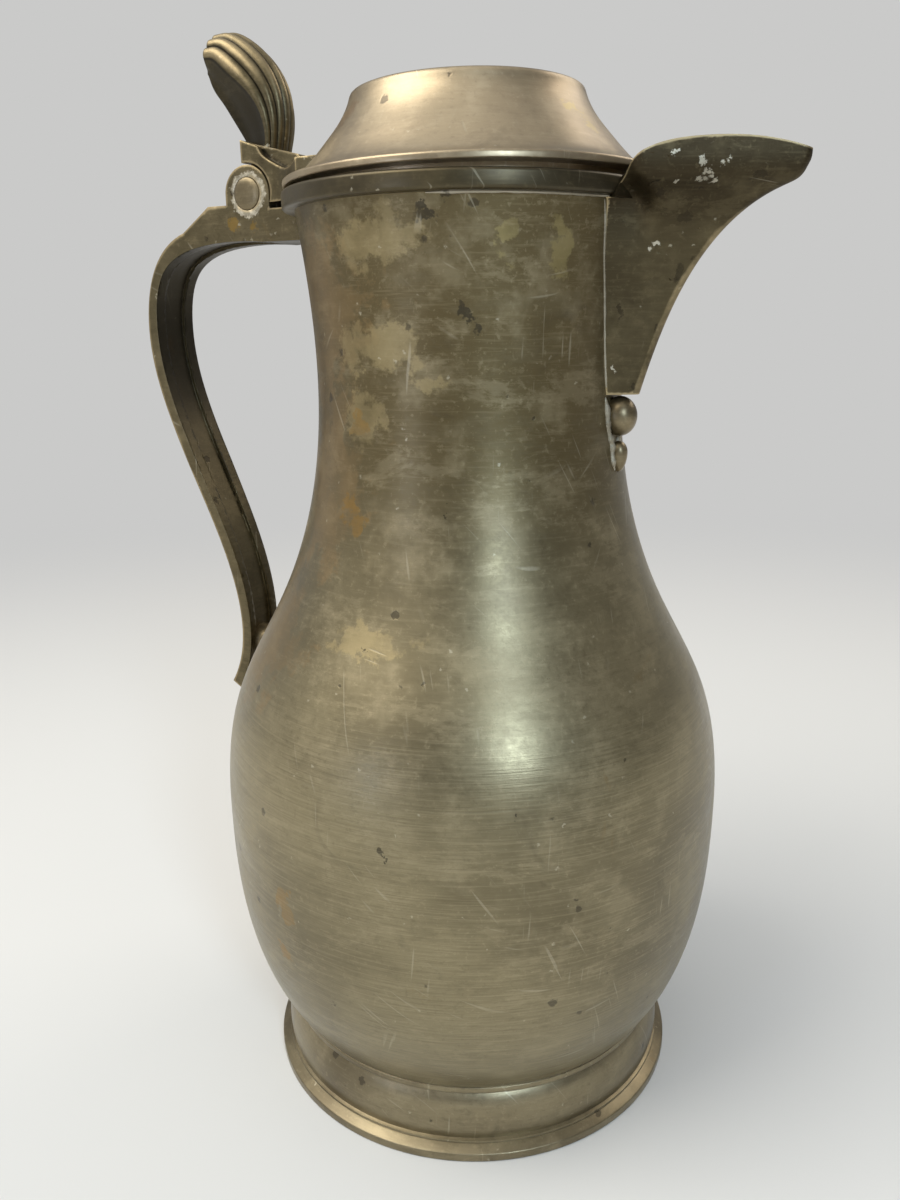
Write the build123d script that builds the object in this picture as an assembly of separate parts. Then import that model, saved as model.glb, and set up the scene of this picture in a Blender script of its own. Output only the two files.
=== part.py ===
"""Pewter flagon: baluster body, beak spout, strap handle and a hinged lid with a shell thumbpiece.

Millimetres. +Z is up, the spout points along +X and the handle along -X.
The origin is on the body's axis, in the plane that the foot stands on.
"""
from build123d import *
import math
import os

# Wall and clearances
wall = 2.2                # cast pewter wall of the body
seat_gap = 0.3            # air between pieces that move past each other
pin_clearance = 0.05      # radial clearance of the hinge pin in the lid's knuckle

# Foot
foot_radius = 60.0        # outer edge of the rim that the flagon stands on
foot_height = 17.8        # top of the moulding, where the base disc lies
foot_top_radius = 55.0    # moulding where it meets the body
foot_bead_radius = 57.3   # fine bead above the rim
foot_bead_height = 4.3
foot_bead = 0.5           # half height of the bead
foot_rim_height = 2.4     # upright edge of the rim
foot_rest_width = 2.6     # flat ring that touches the table
base_disc_thickness = 2.0
base_disc_lip = 0.2       # how far the disc stands out past the belly

# Body, outside radii and their heights
belly_foot_radius = 55.5
belly_low_radius = 65.2
belly_low_height = 39.0
belly_radius = 70.5
girth_height = 84.0       # widest ring, where the two castings are soldered together
shoulder_radius = 66.2
shoulder_height = 114.2
slope_radius = 53.2
slope_height = 140.5
throat_radius = 43.6
throat_height = 168.0
neck_radius = 40.5
neck_height = 194.0
lip_radius = 44.4
lip_height = 241.7        # top of the neck casting, under the mouth band

# Mouth band
band_radius = 47.6
band_height = 4.5
band_bore = 42.4          # clear radius of the mouth
band_rounding = 0.8
band_gap = 36.0           # width of the opening for the spout, at the bore

# Lid
lid_flange_radius = 47.2
lid_flange_thickness = 1.7
lid_top_radius = 28.9
lid_rise = 21.8           # from the flange's underside to the edge of the flat top
lid_crown = 1.2           # how much the flat top domes
lid_edge_rounding = 1.0   # edge of the flat top
lid_wall = 1.8
lid_stand = 0.9           # degrees that the closed lid stands up at the spout
bezel_depth = 4.4
bezel_thickness = 1.5
bezel_clearance = 0.7     # between the bezel and the mouth

# Hinge
pin_x = -64.5
pin_z = 249.2
pin_radius = 4.4
pin_proud = 0.6           # how far each pin end stands out of its lug
lug_radius = 7.4
handle_width = 16.0       # strap, arm and hinge across
knuckle_width = 7.8       # the lid's middle knuckle
lug_root = 2.0            # how deep the lugs run into the arm

# Handle
strap_top_x = -88.2       # back of the strap where it leaves the ledge
strap_top = 239.9
strap_foot = 102.6
strap_bow = 16.2          # how much further back the strap's widest point lies
strap_thickness = 3.3
strap_foot_width = 12.8   # the strap narrows towards its foot
strap_taper_start = 172.0
channel_depth = 0.9       # hollow along the strap's inner face
channel_border = 2.3
arm_top = 245.0           # top of the arm between the lugs and the neck
ledge_top = 246.5         # stop ledge behind the lugs
ledge_length = 8.2
ledge_step = 1.0          # slope between the arm's top and the ledge
ledge_chamfer = 1.6
arm_under = 236.4         # underside of the arm
strut_radius = 4.0
strut_height = 116.5

# Spout
spout_foot = 196.7        # flat lower end of the spout
spout_foot_reach = 49.4   # keel at the lower end
spout_reach = 86.2        # where the two cheeks would meet, before the keel is rounded
spout_tip = 250.0
rim_rise = 2.9            # how far the arched rim rises over the tip
spout_wall = 3.4          # measured in the spout's middle plane
cheek_run = 1.8           # how far the cheeks run forward for each millimetre of half width
keel_rounding = 2.4
channel_floor = 208.0     # bottom of the pour notch
ball_radius = 3.9
ball_tall = 9.4
ball_below_spout = 5.5    # from the spout's lower end to the ball's middle
ball_stand_off = 1.9      # from the neck to the ball's widest section
drop_radius = 1.9
drop_tall = 7.6
drop_below_ball = 9.6     # from middle to middle
drop_stand_off = 1.0

# Tongue and thumbpiece
tongue_length = 26.5      # from the pin to where the fan meets the lid
tongue_thickness = 7.9    # over the lid's underside
tongue_fan = 22.0         # half width where it runs on to the lid
block_rise = 8.6          # height of the block behind the tongue
block_set_back = 1.1      # how far the block reaches behind the pin
shell_base = 2.0          # the shell's lowest point over the tongue's top
shell_height = 34.8
shell_half_width = 7.6
shell_bow = 10.6          # how far the wings lie behind the middle flute
flute_count = 7
flute_depth = 0.7
shell_spread = 80.0       # degrees that the fluted front turns each side of its middle

band_top = lip_height + band_height
lid_base = band_top + seat_gap
lid_top = lid_base + lid_rise
tongue_top = lid_base + tongue_thickness
ball_height = spout_foot - ball_below_spout
drop_height = ball_height - drop_below_ball
body_floor = foot_height + base_disc_thickness
trim = 120.0              # length of the plain blocks and cuts that others are trimmed with
lid_hinge = Axis((pin_x, 0, pin_z), (0, -1, 0))


def side(x, z):
    """A point in the upright middle plane."""
    return Vector(x, 0, z)


def side_face(*edges):
    """A closed outline in the middle plane."""
    return make_face(Curve() + [edge for edge in edges])


def across(face, width):
    """A side outline carried across to both sides by a total width."""
    return extrude(face, amount=width / 2, dir=(0, 1, 0), both=True)


def disc(x, z, radius, width, y=0.0):
    """A round disc that lies across the flagon at a point of the middle plane."""
    return Pos(x, y, z) * Rot(90, 0, 0) * Cylinder(radius, width)


def belly_curve(inset=0.0):
    """Outside or inside curve of the lower casting, from the foot up to the girth."""
    return Spline(
        side(belly_foot_radius - inset, body_floor),
        side(belly_low_radius - inset, belly_low_height),
        side(belly_radius - inset, girth_height),
        tangents=[(0.8, 0, 1), (0, 0, 1)],
    )


def neck_curve(inset=0.0):
    """Outside or inside curve of the upper casting, from the girth up to the mouth."""
    return Spline(
        side(belly_radius - inset, girth_height),
        side(shoulder_radius - inset, shoulder_height),
        side(slope_radius - inset, slope_height),
        side(throat_radius - inset, throat_height),
        side(neck_radius - inset, neck_height),
        side(lip_radius - inset, lip_height),
        tangents=[(0, 0, 1), (0.16, 0, 1)],
    )


def turned_wall(curve, inset):
    """A turned shell between a curve and the same curve moved in by the wall."""
    outer = curve()
    inner = curve(inset)
    return revolve(
        side_face(outer, Line(outer @ 1, inner @ 1), inner, Line(inner @ 0, outer @ 0)),
        Axis.Z,
    )


def trunk():
    """The outside of both castings as one filled turning."""
    belly = belly_curve()
    neck = neck_curve()
    return revolve(
        side_face(
            belly,
            neck,
            Line(neck @ 1, side(0, lip_height)),
            Line(side(0, lip_height), side(0, body_floor)),
            Line(side(0, body_floor), belly @ 0),
        ),
        Axis.Z,
    )


def body_solid():
    """The filled body with its band, for trimming what is soldered on."""
    return trunk() + Pos(0, 0, lip_height + band_height / 2) * Cylinder(band_radius, band_height)


def belly_shell():
    return turned_wall(belly_curve, wall)


def neck_shell():
    """The upper casting, with the notch that lets the drink into the spout."""
    return turned_wall(neck_curve, wall) - pour_channel()


def foot_ring():
    """Rim, bead and ogee, hollow underneath, on a narrow flat ring."""
    rim_inside = foot_radius - foot_rest_width
    top_inside = foot_top_radius - wall
    bead_base = side(foot_bead_radius, foot_bead_height - foot_bead)
    bead_top = side(foot_bead_radius - 1.2 * foot_bead, foot_bead_height + 0.8 * foot_bead)
    crest = (foot_bead_height + foot_height) / 2 - 2 * foot_bead
    return revolve(
        side_face(
            Line(side(rim_inside, 0), side(foot_radius, 0)),
            Line(side(foot_radius, 0), side(foot_radius, foot_rim_height)),
            Line(side(foot_radius, foot_rim_height), bead_base),
            ThreePointArc(
                bead_base,
                side(foot_bead_radius + 0.2 * foot_bead, foot_bead_height + 0.2 * foot_bead),
                bead_top,
            ),
            Spline(
                bead_top,
                side(foot_bead_radius, crest),
                side(foot_top_radius, foot_height),
                tangents=[(0.35, 0, 1), (-0.75, 0, 1)],
            ),
            Line(side(foot_top_radius, foot_height), side(top_inside, foot_height)),
            Spline(
                side(top_inside, foot_height),
                side(foot_bead_radius - 1.45 * wall, crest),
                side(rim_inside, 0),
            ),
        ),
        Axis.Z,
    )


def base_disc():
    """Plate that closes the belly; its edge shows as a fine ridge at the foot."""
    plate = Pos(0, 0, foot_height + base_disc_thickness / 2)
    plate *= Cylinder(belly_foot_radius + base_disc_lip, base_disc_thickness)
    return fillet(plate.edges().group_by(Axis.Z)[0], 0.3 * base_disc_thickness)


def mouth_band():
    """Plain band with rounded outer edges that leaves a gap where the spout opens."""
    middle = Pos((band_bore + band_radius) / 2, lip_height + band_height / 2)
    section = Plane.XZ * middle * Rectangle(band_radius - band_bore, band_height)
    section = fillet(section.vertices().group_by(Axis.X)[-1], band_rounding)
    half_gap = math.degrees(math.asin(band_gap / 2 / band_bore))
    return revolve(section, Axis.Z, 360 - 2 * half_gap).rotate(Axis.Z, half_gap)


def keel_point(out, up):
    """A point of the keel by its shares of the spout's reach and height."""
    return side(
        spout_foot_reach + out * (spout_reach - spout_foot_reach),
        spout_foot + up * (spout_tip - spout_foot),
    )


def keel_curve(inset=0.0):
    """Front edge of the spout in the middle plane, or the same edge inside the wall."""
    outer = Spline(
        keel_point(0, 0),
        keel_point(0.163, 0.332),
        keel_point(0.432, 0.662),
        keel_point(0.832, 0.876),
        keel_point(1, 1),
        tangents=[(0.3, 0, 1), (0, 0, 1)],
    )
    if inset == 0:
        return outer
    moved = []
    for t in (0.16, 0.36, 0.56, 0.76, 0.9, 1.0):
        along = outer % t
        moved.append(outer @ t + Vector(-along.Z, 0, along.X) * inset)
    return Spline(*moved)


def beak(inset):
    """The filled beak, or with an inset the channel that runs inside it."""
    keel = keel_curve(inset)
    back = 0.8 * neck_radius
    above = lid_base + 0.7 * lid_rise
    outline = side_face(
        keel,
        Line(keel @ 1, side((keel @ 1).X, above)),
        Line(side((keel @ 1).X, above), side(back, above)),
        Line(side(back, above), side(back, (keel @ 0).Z)),
        Line(side(back, (keel @ 0).Z), keel @ 0),
    )
    length = spout_reach / 3 * math.hypot(cheek_run, 1)
    near = extrude(outline, amount=length, dir=(-cheek_run, -1, 0))
    far = extrude(outline, amount=length, dir=(-cheek_run, 1, 0))
    solid = near + far
    if inset > 0:
        return solid
    ridge = [
        edge
        for edge in solid.edges()
        if all(abs((edge @ t).Y) < 0.001 for t in (0, 0.5, 1))
        and (edge @ 0.5).X > back + spout_wall
        and (edge @ 0.5).Z < above - wall
    ]
    return fillet(ridge, keel_rounding)


def pour_channel():
    """Inside of the beak above the floor, which also cuts the notch in the neck."""
    upper = Pos(0, 0, channel_floor + trim / 2) * Box(2 * trim, trim, trim)
    return beak(spout_wall) & upper


def above_rim():
    """Everything above the spout's arched rim."""
    rim = Spline(
        side(0.708 * band_bore, lip_height - 0.16 * band_height),
        side(1.005 * band_bore, lip_height + 0.51 * band_height),
        side(0.619 * spout_reach, spout_tip + 0.345 * rim_rise),
        side(0.731 * spout_reach, spout_tip + rim_rise),
        side(0.858 * spout_reach, spout_tip + 0.93 * rim_rise),
        side(1.044 * spout_reach, spout_tip - 0.83 * rim_rise),
    )
    return across(
        side_face(
            rim,
            Line(rim @ 1, side((rim @ 1).X, lid_top)),
            Line(side((rim @ 1).X, lid_top), side((rim @ 0).X, lid_top)),
            Line(side((rim @ 0).X, lid_top), rim @ 0),
        ),
        trim,
    )


def spout():
    """Open-topped beak with two flat cheeks on a rounded keel, trimmed to the neck."""
    mouth_space = Pos(0, 0, lip_height + trim / 4) * Cylinder(band_radius, trim / 2)
    front = Pos(0.75 * neck_radius + trim / 2, 0, spout_foot) * Box(trim, trim, 2 * trim)
    beak_wall = (beak(0.0) & front) - pour_channel() - above_rim()
    return beak_wall - trunk() - mouth_space


def neck_radius_at(height):
    """Outside radius of the upper casting at a height."""
    curve = neck_curve()
    low, high = 0.0, 1.0
    while high - low > 0.0001:
        middle = (low + high) / 2
        if (curve @ middle).Z < height:
            low = middle
        else:
            high = middle
    return (curve @ low).X


def bead(height, above, below, widest, radius, stand_off):
    """A rounded bead on the neck's front: half of a turning, carried straight back to the neck."""
    out = neck_radius_at(height) + stand_off
    low, high = side(out, height - below), side(out, height + above)
    half = revolve(
        side_face(
            Spline(low, side(out - radius, height + widest), high, tangents=[(-1, 0, 0), (1, 0, 0)]),
            Line(high, low),
        ),
        Axis((out, 0, 0), (0, 0, 1)),
        180,
    )
    front = half.rotate(Axis((out, 0, 0), (0, 0, 1)), 90)
    flat = front.faces().sort_by(Axis.X)[0]
    return front + extrude(flat, amount=2 * stand_off, dir=(-1, 0, 0)) - body_solid()


def spout_ball():
    """Ovoid bead under the spout."""
    return bead(ball_height, ball_tall / 2, ball_tall / 2, 0.0, ball_radius, ball_stand_off)


def spout_drop():
    """Smaller bead under the ball, drawn out downwards."""
    return bead(drop_height, 0.42 * drop_tall, 0.58 * drop_tall, 0.5, drop_radius, drop_stand_off)


def strap_point(bow, up):
    """A point of the strap's back by its shares of the bow and of the strap's height."""
    return side(strap_top_x - bow * strap_bow, strap_foot + up * (strap_top - strap_foot))


def strap_outer():
    """Back of the handle, from the ledge down to the foot."""
    return Spline(
        strap_point(0, 1),
        strap_point(0.66, 0.945),
        strap_point(1, 0.811),
        strap_point(0.642, 0.607),
        strap_point(0, 0.43),
        strap_point(-0.556, 0.25),
        strap_point(-0.667, 0.119),
        strap_point(-0.333, 0),
    )


def strap_inner(depth=0.0):
    """Face of the handle towards the body, or the same face moved into the strap."""
    outer = strap_outer()
    moved = []
    for t in (1.0, 0.9, 0.78, 0.64, 0.5, 0.36, 0.22, 0.1):
        along = outer % t
        moved.append(outer @ t + Vector(-along.Z, 0, along.X) * (strap_thickness - depth))
    moved.append(side(pin_x - 2 * lug_radius + seat_gap, arm_under + depth))
    moved.append(side(pin_x + 0.6 * lug_radius, arm_under + depth))
    return Spline(*moved)


def strap_body():
    """Arm, ledge and strap as one cast bar, before the lugs."""
    ledge_front = pin_x - lug_radius
    ledge_back = ledge_front - ledge_length
    outer = strap_outer()
    inner = strap_inner()
    neck_end = -0.89 * neck_radius
    bar = across(
        side_face(
            Line(side(neck_end, arm_top), side(ledge_front + ledge_step, arm_top)),
            Line(side(ledge_front + ledge_step, arm_top), side(ledge_front, ledge_top)),
            Line(side(ledge_front, ledge_top), side(ledge_back + ledge_chamfer, ledge_top)),
            Line(
                side(ledge_back + ledge_chamfer, ledge_top),
                side(ledge_back, ledge_top - 0.7 * ledge_chamfer),
            ),
            Line(side(ledge_back, ledge_top - 0.7 * ledge_chamfer), outer @ 0),
            outer,
            Line(outer @ 1, inner @ 0),
            inner,
            Line(inner @ 1, side(neck_end, arm_under)),
            Line(side(neck_end, arm_under), side(neck_end, arm_top)),
        ),
        handle_width,
    )
    return bar & strap_taper()


def strap_taper():
    """Front view that narrows the strap towards its foot."""
    top, foot = handle_width / 2, strap_foot_width / 2
    low, high = strap_foot - handle_width / 2, lid_top
    back = 1.5 * strap_top_x
    corners = [
        Vector(back, -foot, low),
        Vector(back, foot, low),
        Vector(back, top, strap_taper_start),
        Vector(back, top, high),
        Vector(back, -top, high),
        Vector(back, -top, strap_taper_start),
    ]
    return extrude(make_face(Polyline(*corners, close=True)), amount=trim, dir=(1, 0, 0))


def strap_channel():
    """Shallow hollow along the inner face between two plain borders."""
    shallow = strap_inner(-seat_gap)
    deep = strap_inner(channel_depth)
    hollow = side_face(
        shallow,
        Line(shallow @ 1, deep @ 1),
        deep,
        Line(deep @ 0, shallow @ 0),
    )
    return across(hollow, strap_foot_width - 2 * channel_border)


def handle():
    """Strap handle with two hinge lugs and the slot for the lid's knuckle."""
    lug_width = (handle_width - knuckle_width) / 2 - seat_gap
    bar = strap_body() - strap_channel()
    for end in (-1, 1):
        y = end * (handle_width - lug_width) / 2
        bar += disc(pin_x, pin_z, lug_radius, lug_width, y)
        bar += Pos(pin_x, y, (pin_z + arm_top - lug_root) / 2) * Box(
            2 * lug_radius, lug_width, pin_z - arm_top + lug_root
        )
    slot = disc(pin_x, pin_z, lug_radius + seat_gap, knuckle_width + 2 * seat_gap)
    bar -= slot
    bar -= disc(pin_x, pin_z, pin_radius, 2 * handle_width)
    return bar - body_solid()


def hinge_pin():
    """Round pin with slightly domed ends that stand out of the lugs."""
    pin = disc(pin_x, pin_z, pin_radius, handle_width + 2 * pin_proud)
    return fillet(pin.edges().filter_by(GeomType.CIRCLE), 0.8 * pin_proud)


def handle_strut():
    """Short bar that ties the foot of the handle to the belly."""
    near, far = -(shoulder_radius - 5 * wall), strap_top_x + 2 * strap_thickness
    bar = Pos((near + far) / 2, 0, strut_height) * Rot(0, 90, 0) * Cylinder(strut_radius, near - far)
    inner = strap_inner()
    top, back, low = lid_top, 1.5 * strap_top_x, strap_foot - handle_width
    behind = across(
        side_face(
            inner,
            Line(inner @ 1, side((inner @ 1).X, top)),
            Line(side((inner @ 1).X, top), side(back, top)),
            Line(side(back, top), side(back, low)),
            Line(side(back, low), side((inner @ 0).X, low)),
            Line(side((inner @ 0).X, low), inner @ 0),
        ),
        2 * handle_width,
    )
    # The channel's hollow is left out of the cut, so that the strut reaches its bottom.
    return bar - (behind - strap_channel()) - body_solid()


def crown_arc(edge_radius):
    """Shallow dome of the lid's top, from its edge to the middle."""
    sphere = (edge_radius**2 + lid_crown**2) / (2 * lid_crown)
    halfway = edge_radius / 2
    drop = sphere - math.sqrt(sphere**2 - halfway**2)
    return ThreePointArc(
        side(edge_radius, lid_top),
        side(halfway, lid_top + lid_crown - drop),
        side(0, lid_top + lid_crown),
    )


def lid_point(out, up):
    """A point of the bell by its shares of the slope's width and of the lid's rise."""
    return side(
        lid_top_radius + out * (lid_flange_radius - lid_top_radius),
        lid_base + up * lid_rise,
    )


def lid_outside():
    """Outside curve of the lid from the flange's lower edge to the middle of the top."""
    bead = lid_flange_thickness
    edge = lid_base + bead
    bead_low = side(lid_flange_radius, edge - 0.35 * bead)
    bead_top = side(lid_flange_radius - 0.82 * bead, edge + 0.15 * bead)
    slope_foot = side(lid_flange_radius - 1.53 * bead, edge + 0.26 * bead)
    slope_top = side(lid_top_radius + 0.6 * lid_edge_rounding, lid_top - lid_edge_rounding)
    return [
        Line(side(lid_flange_radius, lid_base), bead_low),
        ThreePointArc(bead_low, side(lid_flange_radius - 0.2 * bead, edge), bead_top),
        Line(bead_top, slope_foot),
        Spline(
            slope_foot,
            lid_point(0.623, 0.248),
            lid_point(0.41, 0.45),
            lid_point(0.202, 0.665),
            slope_top,
            tangents=[(-1, 0, 0.42), (-0.28, 0, 1)],
        ),
        ThreePointArc(
            slope_top,
            side(lid_top_radius, lid_top - 0.2 * lid_edge_rounding),
            side(lid_top_radius - lid_edge_rounding, lid_top),
        ),
        crown_arc(lid_top_radius - lid_edge_rounding),
    ]


def lid_filled():
    """The lid's outside as a filled turning, for trimming what is soldered to it."""
    outside = lid_outside()
    return revolve(
        side_face(
            *outside,
            Line(side(0, lid_top + lid_crown), side(0, lid_base)),
            Line(side(0, lid_base), side(lid_flange_radius, lid_base)),
        ),
        Axis.Z,
    )


def lid_cover():
    """Bell-shaped lid with a beaded flange, hollow inside."""
    rim = band_bore - bezel_clearance - bezel_thickness
    below = lid_base - wall
    ceiling = lid_top - lid_wall
    slope = Vector(1.25 * lid_wall, 0, 0)
    rim_top = side(rim, lid_base + 0.9 * lid_wall)
    corner = side(lid_top_radius - 0.78 * lid_wall, ceiling - 0.33 * lid_wall)
    ceiling_edge = side(lid_top_radius - 1.33 * lid_wall, ceiling)
    hollow = revolve(
        side_face(
            Line(side(0, below), side(rim, below)),
            Line(side(rim, below), rim_top),
            Spline(
                rim_top,
                lid_point(0.41, 0.349) - slope,
                lid_point(0.202, 0.569) - slope,
                corner,
            ),
            Line(corner, ceiling_edge),
            Line(ceiling_edge, side(0, ceiling)),
            Line(side(0, ceiling), side(0, below)),
        ),
        Axis.Z,
    )
    return lid_filled() - hollow


def lid_bezel():
    """Ring under the lid that drops inside the mouth band."""
    outer = band_bore - bezel_clearance
    ring = Cylinder(outer, bezel_depth) - Cylinder(outer - bezel_thickness, 2 * bezel_depth)
    return Pos(0, 0, lid_base - bezel_depth / 2) * ring


def tongue_point(out, up):
    """A point on the tongue by its shares of the tongue's length and of the block's rise."""
    return side(pin_x + out * tongue_length, tongue_top + up * block_rise)


def tongue_plan():
    """Top view of the tongue, which fans out where it runs on to the lid."""
    half = handle_width / 2
    low = lid_base - lug_radius
    back, start = pin_x - 1.4 * lug_radius, pin_x + lug_radius
    widening, end, inside = pin_x + 0.547 * tongue_length, pin_x + tongue_length, -lid_top_radius
    near = [
        Line((back, half, low), (start, half, low)),
        Spline(
            (start, half, low),
            (widening, 1.25 * half, low),
            (end, tongue_fan, low),
            tangents=[(1, 0, 0), (1, 1.3, 0)],
        ),
        Line((end, tongue_fan, low), (inside, tongue_fan, low)),
    ]
    far = [
        Line((inside, -tongue_fan, low), (end, -tongue_fan, low)),
        Spline(
            (end, -tongue_fan, low),
            (widening, -1.25 * half, low),
            (start, -half, low),
            tangents=[(-1, 1.3, 0), (-1, 0, 0)],
        ),
        Line((start, -half, low), (back, -half, low)),
    ]
    ends = [
        Line((inside, tongue_fan, low), (inside, -tongue_fan, low)),
        Line((back, -half, low), (back, half, low)),
    ]
    return make_face(Curve() + near + far + ends)


def lid_arm():
    """Tongue that fans out on to the lid, with the middle knuckle and the thumbpiece's block."""
    block_back = pin_x - block_set_back
    web_front = pin_x + lug_radius + lid_wall
    inside = -lid_top_radius
    block_top = side(block_back, tongue_top + block_rise)
    profile = across(
        side_face(
            Line(side(inside, lid_base), side(pin_x, lid_base)),
            Line(side(pin_x, lid_base), side(block_back, pin_z)),
            Line(side(block_back, pin_z), block_top),
            Line(block_top, tongue_point(0.174, 0.756)),
            Spline(
                tongue_point(0.174, 0.756),
                tongue_point(0.298, 0.326),
                tongue_point(0.49, 0.047),
                tongue_point(1, 0),
                tangents=[(0.3, 0, -1), (1, 0, 0)],
            ),
            Line(tongue_point(1, 0), side(inside, tongue_top)),
            Line(side(inside, tongue_top), side(inside, lid_base)),
        ),
        trim,
    )
    tongue = profile & extrude(tongue_plan(), amount=2 * lid_rise, dir=(0, 0, 1))
    tongue += thumb_block()
    tongue -= disc(pin_x, pin_z, lug_radius + 2 * seat_gap, trim)
    web_low, web_back = tongue_top + 0.3 * block_rise, tongue_top + 0.53 * block_rise
    web = across(
        side_face(
            Line(side(pin_x, pin_z), side(web_front, lid_base)),
            Line(side(web_front, lid_base), side(web_front, web_low)),
            Line(side(web_front, web_low), side(block_back, web_back)),
            Line(side(block_back, web_back), side(pin_x, pin_z)),
        ),
        knuckle_width,
    )
    knuckle = disc(pin_x, pin_z, lug_radius - seat_gap, knuckle_width)
    arm = tongue + web + knuckle
    arm -= disc(pin_x, pin_z, pin_radius + pin_clearance, trim)
    return arm - lid_filled()


def thumb_block(width=handle_width - 2 * wall, bottom=tongue_top - 0.29 * block_rise):
    """Wedge on the tongue that the shell stands on, a little narrower than the tongue."""
    back = tongue_point(0.004, 0.942)
    front = tongue_point(0.774, -0.047)
    return across(
        side_face(
            Line(side(back.X, bottom), back),
            Line(back, tongue_point(0.615, 0.442)),
            Line(tongue_point(0.615, 0.442), front),
            Line(front, side(front.X, bottom)),
            Line(side(front.X, bottom), side(back.X, bottom)),
        ),
        width,
    )


def shell_section(front, back, half_width, sag, keel):
    """One fluted cross-section of the shell between its front and its back in the middle plane."""
    depth = (front - back).length
    forward = (front - back).normalized()

    def place(u, v):
        return back + forward * v + Vector(0, u, 0)

    spread = math.radians(shell_spread)
    step = 2 * spread / flute_count
    edges = []
    for flute in range(flute_count):
        angles = [-spread + step * (flute + part) for part in (0, 0.5, 1)]
        bulges = (0, flute_depth, 0)
        ends = [
            place(
                (half_width + bulge) * math.sin(angle),
                depth - sag * (1 - math.cos(angle)) + bulge * math.cos(angle),
            )
            for angle, bulge in zip(angles, bulges)
        ]
        edges.append(ThreePointArc(*ends))
    wing = half_width * math.sin(spread)
    wing_v = depth - sag * (1 - math.cos(spread))
    heel_v = min(0.0, wing_v - 1.0)
    near_heel, far_heel = place(-keel, heel_v), place(keel, heel_v)
    waist = 0.42 * wing + 0.58 * keel
    middle_v = (wing_v + heel_v) / 2
    edges.append(ThreePointArc(place(wing, wing_v), place(waist, middle_v), far_heel))
    edges.append(ThreePointArc(far_heel, place(0, heel_v - 0.3 * keel), near_heel))
    edges.append(ThreePointArc(near_heel, place(-waist, middle_v), place(-wing, wing_v)))
    return make_face(Curve() + edges)


def shell_point(out, up):
    """A point on the shell by its shares of the shell's height, from the pin and its base."""
    return side(pin_x + out * shell_height, tongue_top + shell_base + up * shell_height)


def thumbpiece():
    """Scallop shell that leans back over the hinge, its flutes fanning to a scalloped rim."""
    stations = [
        (shell_point(0.204, 0.0), shell_point(0.009, 0.057), 0.684, 0.302, 0.421),
        (shell_point(0.273, 0.293), shell_point(-0.118, 0.259), 0.763, 0.358, 0.342),
        (shell_point(0.261, 0.534), shell_point(-0.204, 0.397), 0.868, 0.547, 0.342),
        (shell_point(0.135, 0.776), shell_point(-0.267, 0.511), 0.961, 0.849, 0.395),
        (shell_point(-0.043, 0.931), shell_point(-0.313, 0.592), 1.0, 1.0, 0.5),
        (shell_point(-0.204, 1.0), shell_point(-0.348, 0.661), 0.974, 0.925, 0.605),
        (shell_point(-0.313, 1.0), shell_point(-0.371, 0.718), 0.895, 0.755, 0.605),
    ]
    sections = [
        shell_section(
            front,
            back,
            width * shell_half_width,
            sag * shell_bow,
            keel * shell_half_width,
        )
        for front, back, width, sag, keel in stations
    ]
    return loft(sections) - thumb_block(trim, lid_base - lug_radius) - lid_arm()


def closed_lid(piece):
    """A lid piece turned by the small angle at which the closed lid stands."""
    return piece.rotate(lid_hinge, lid_stand)


pieces = {
    "foot_ring": foot_ring(),
    "base_disc": base_disc(),
    "belly_shell": belly_shell(),
    "neck_shell": neck_shell(),
    "mouth_band": mouth_band(),
    "spout": spout(),
    "spout_ball": spout_ball(),
    "spout_drop": spout_drop(),
    "handle": handle(),
    "handle_strut": handle_strut(),
    "hinge_pin": hinge_pin(),
    "lid_cover": closed_lid(lid_cover()),
    "lid_bezel": closed_lid(lid_bezel()),
    "lid_arm": closed_lid(lid_arm()),
    "thumbpiece": closed_lid(thumbpiece()),
}

os.makedirs("parts", exist_ok=True)
for name, piece in pieces.items():
    export_step(piece, f"parts/{name}.step")
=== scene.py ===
"""Looks of a pewter flagon: turned body and lid, beak spout, strap handle, hinge, shell thumbpiece.

Metres once built; the outlines are written in millimetres. +Z is up, the spout points along +X.
"""

import math

import bmesh
import bpy
import numpy as np
from mathutils import Matrix, Vector


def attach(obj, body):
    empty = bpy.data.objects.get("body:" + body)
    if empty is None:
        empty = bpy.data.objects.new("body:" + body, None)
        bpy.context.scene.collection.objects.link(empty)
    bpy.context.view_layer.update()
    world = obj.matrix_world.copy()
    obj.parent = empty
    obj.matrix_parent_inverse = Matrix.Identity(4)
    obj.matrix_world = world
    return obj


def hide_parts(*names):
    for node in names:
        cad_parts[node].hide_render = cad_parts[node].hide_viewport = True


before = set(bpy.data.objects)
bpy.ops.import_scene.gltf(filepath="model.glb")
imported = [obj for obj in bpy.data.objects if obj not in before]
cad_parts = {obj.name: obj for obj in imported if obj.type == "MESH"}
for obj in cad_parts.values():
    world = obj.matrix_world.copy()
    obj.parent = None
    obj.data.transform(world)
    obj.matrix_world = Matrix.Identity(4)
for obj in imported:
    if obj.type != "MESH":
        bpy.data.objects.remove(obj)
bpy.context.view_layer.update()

MM = 0.001
WELD = 2e-6

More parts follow.
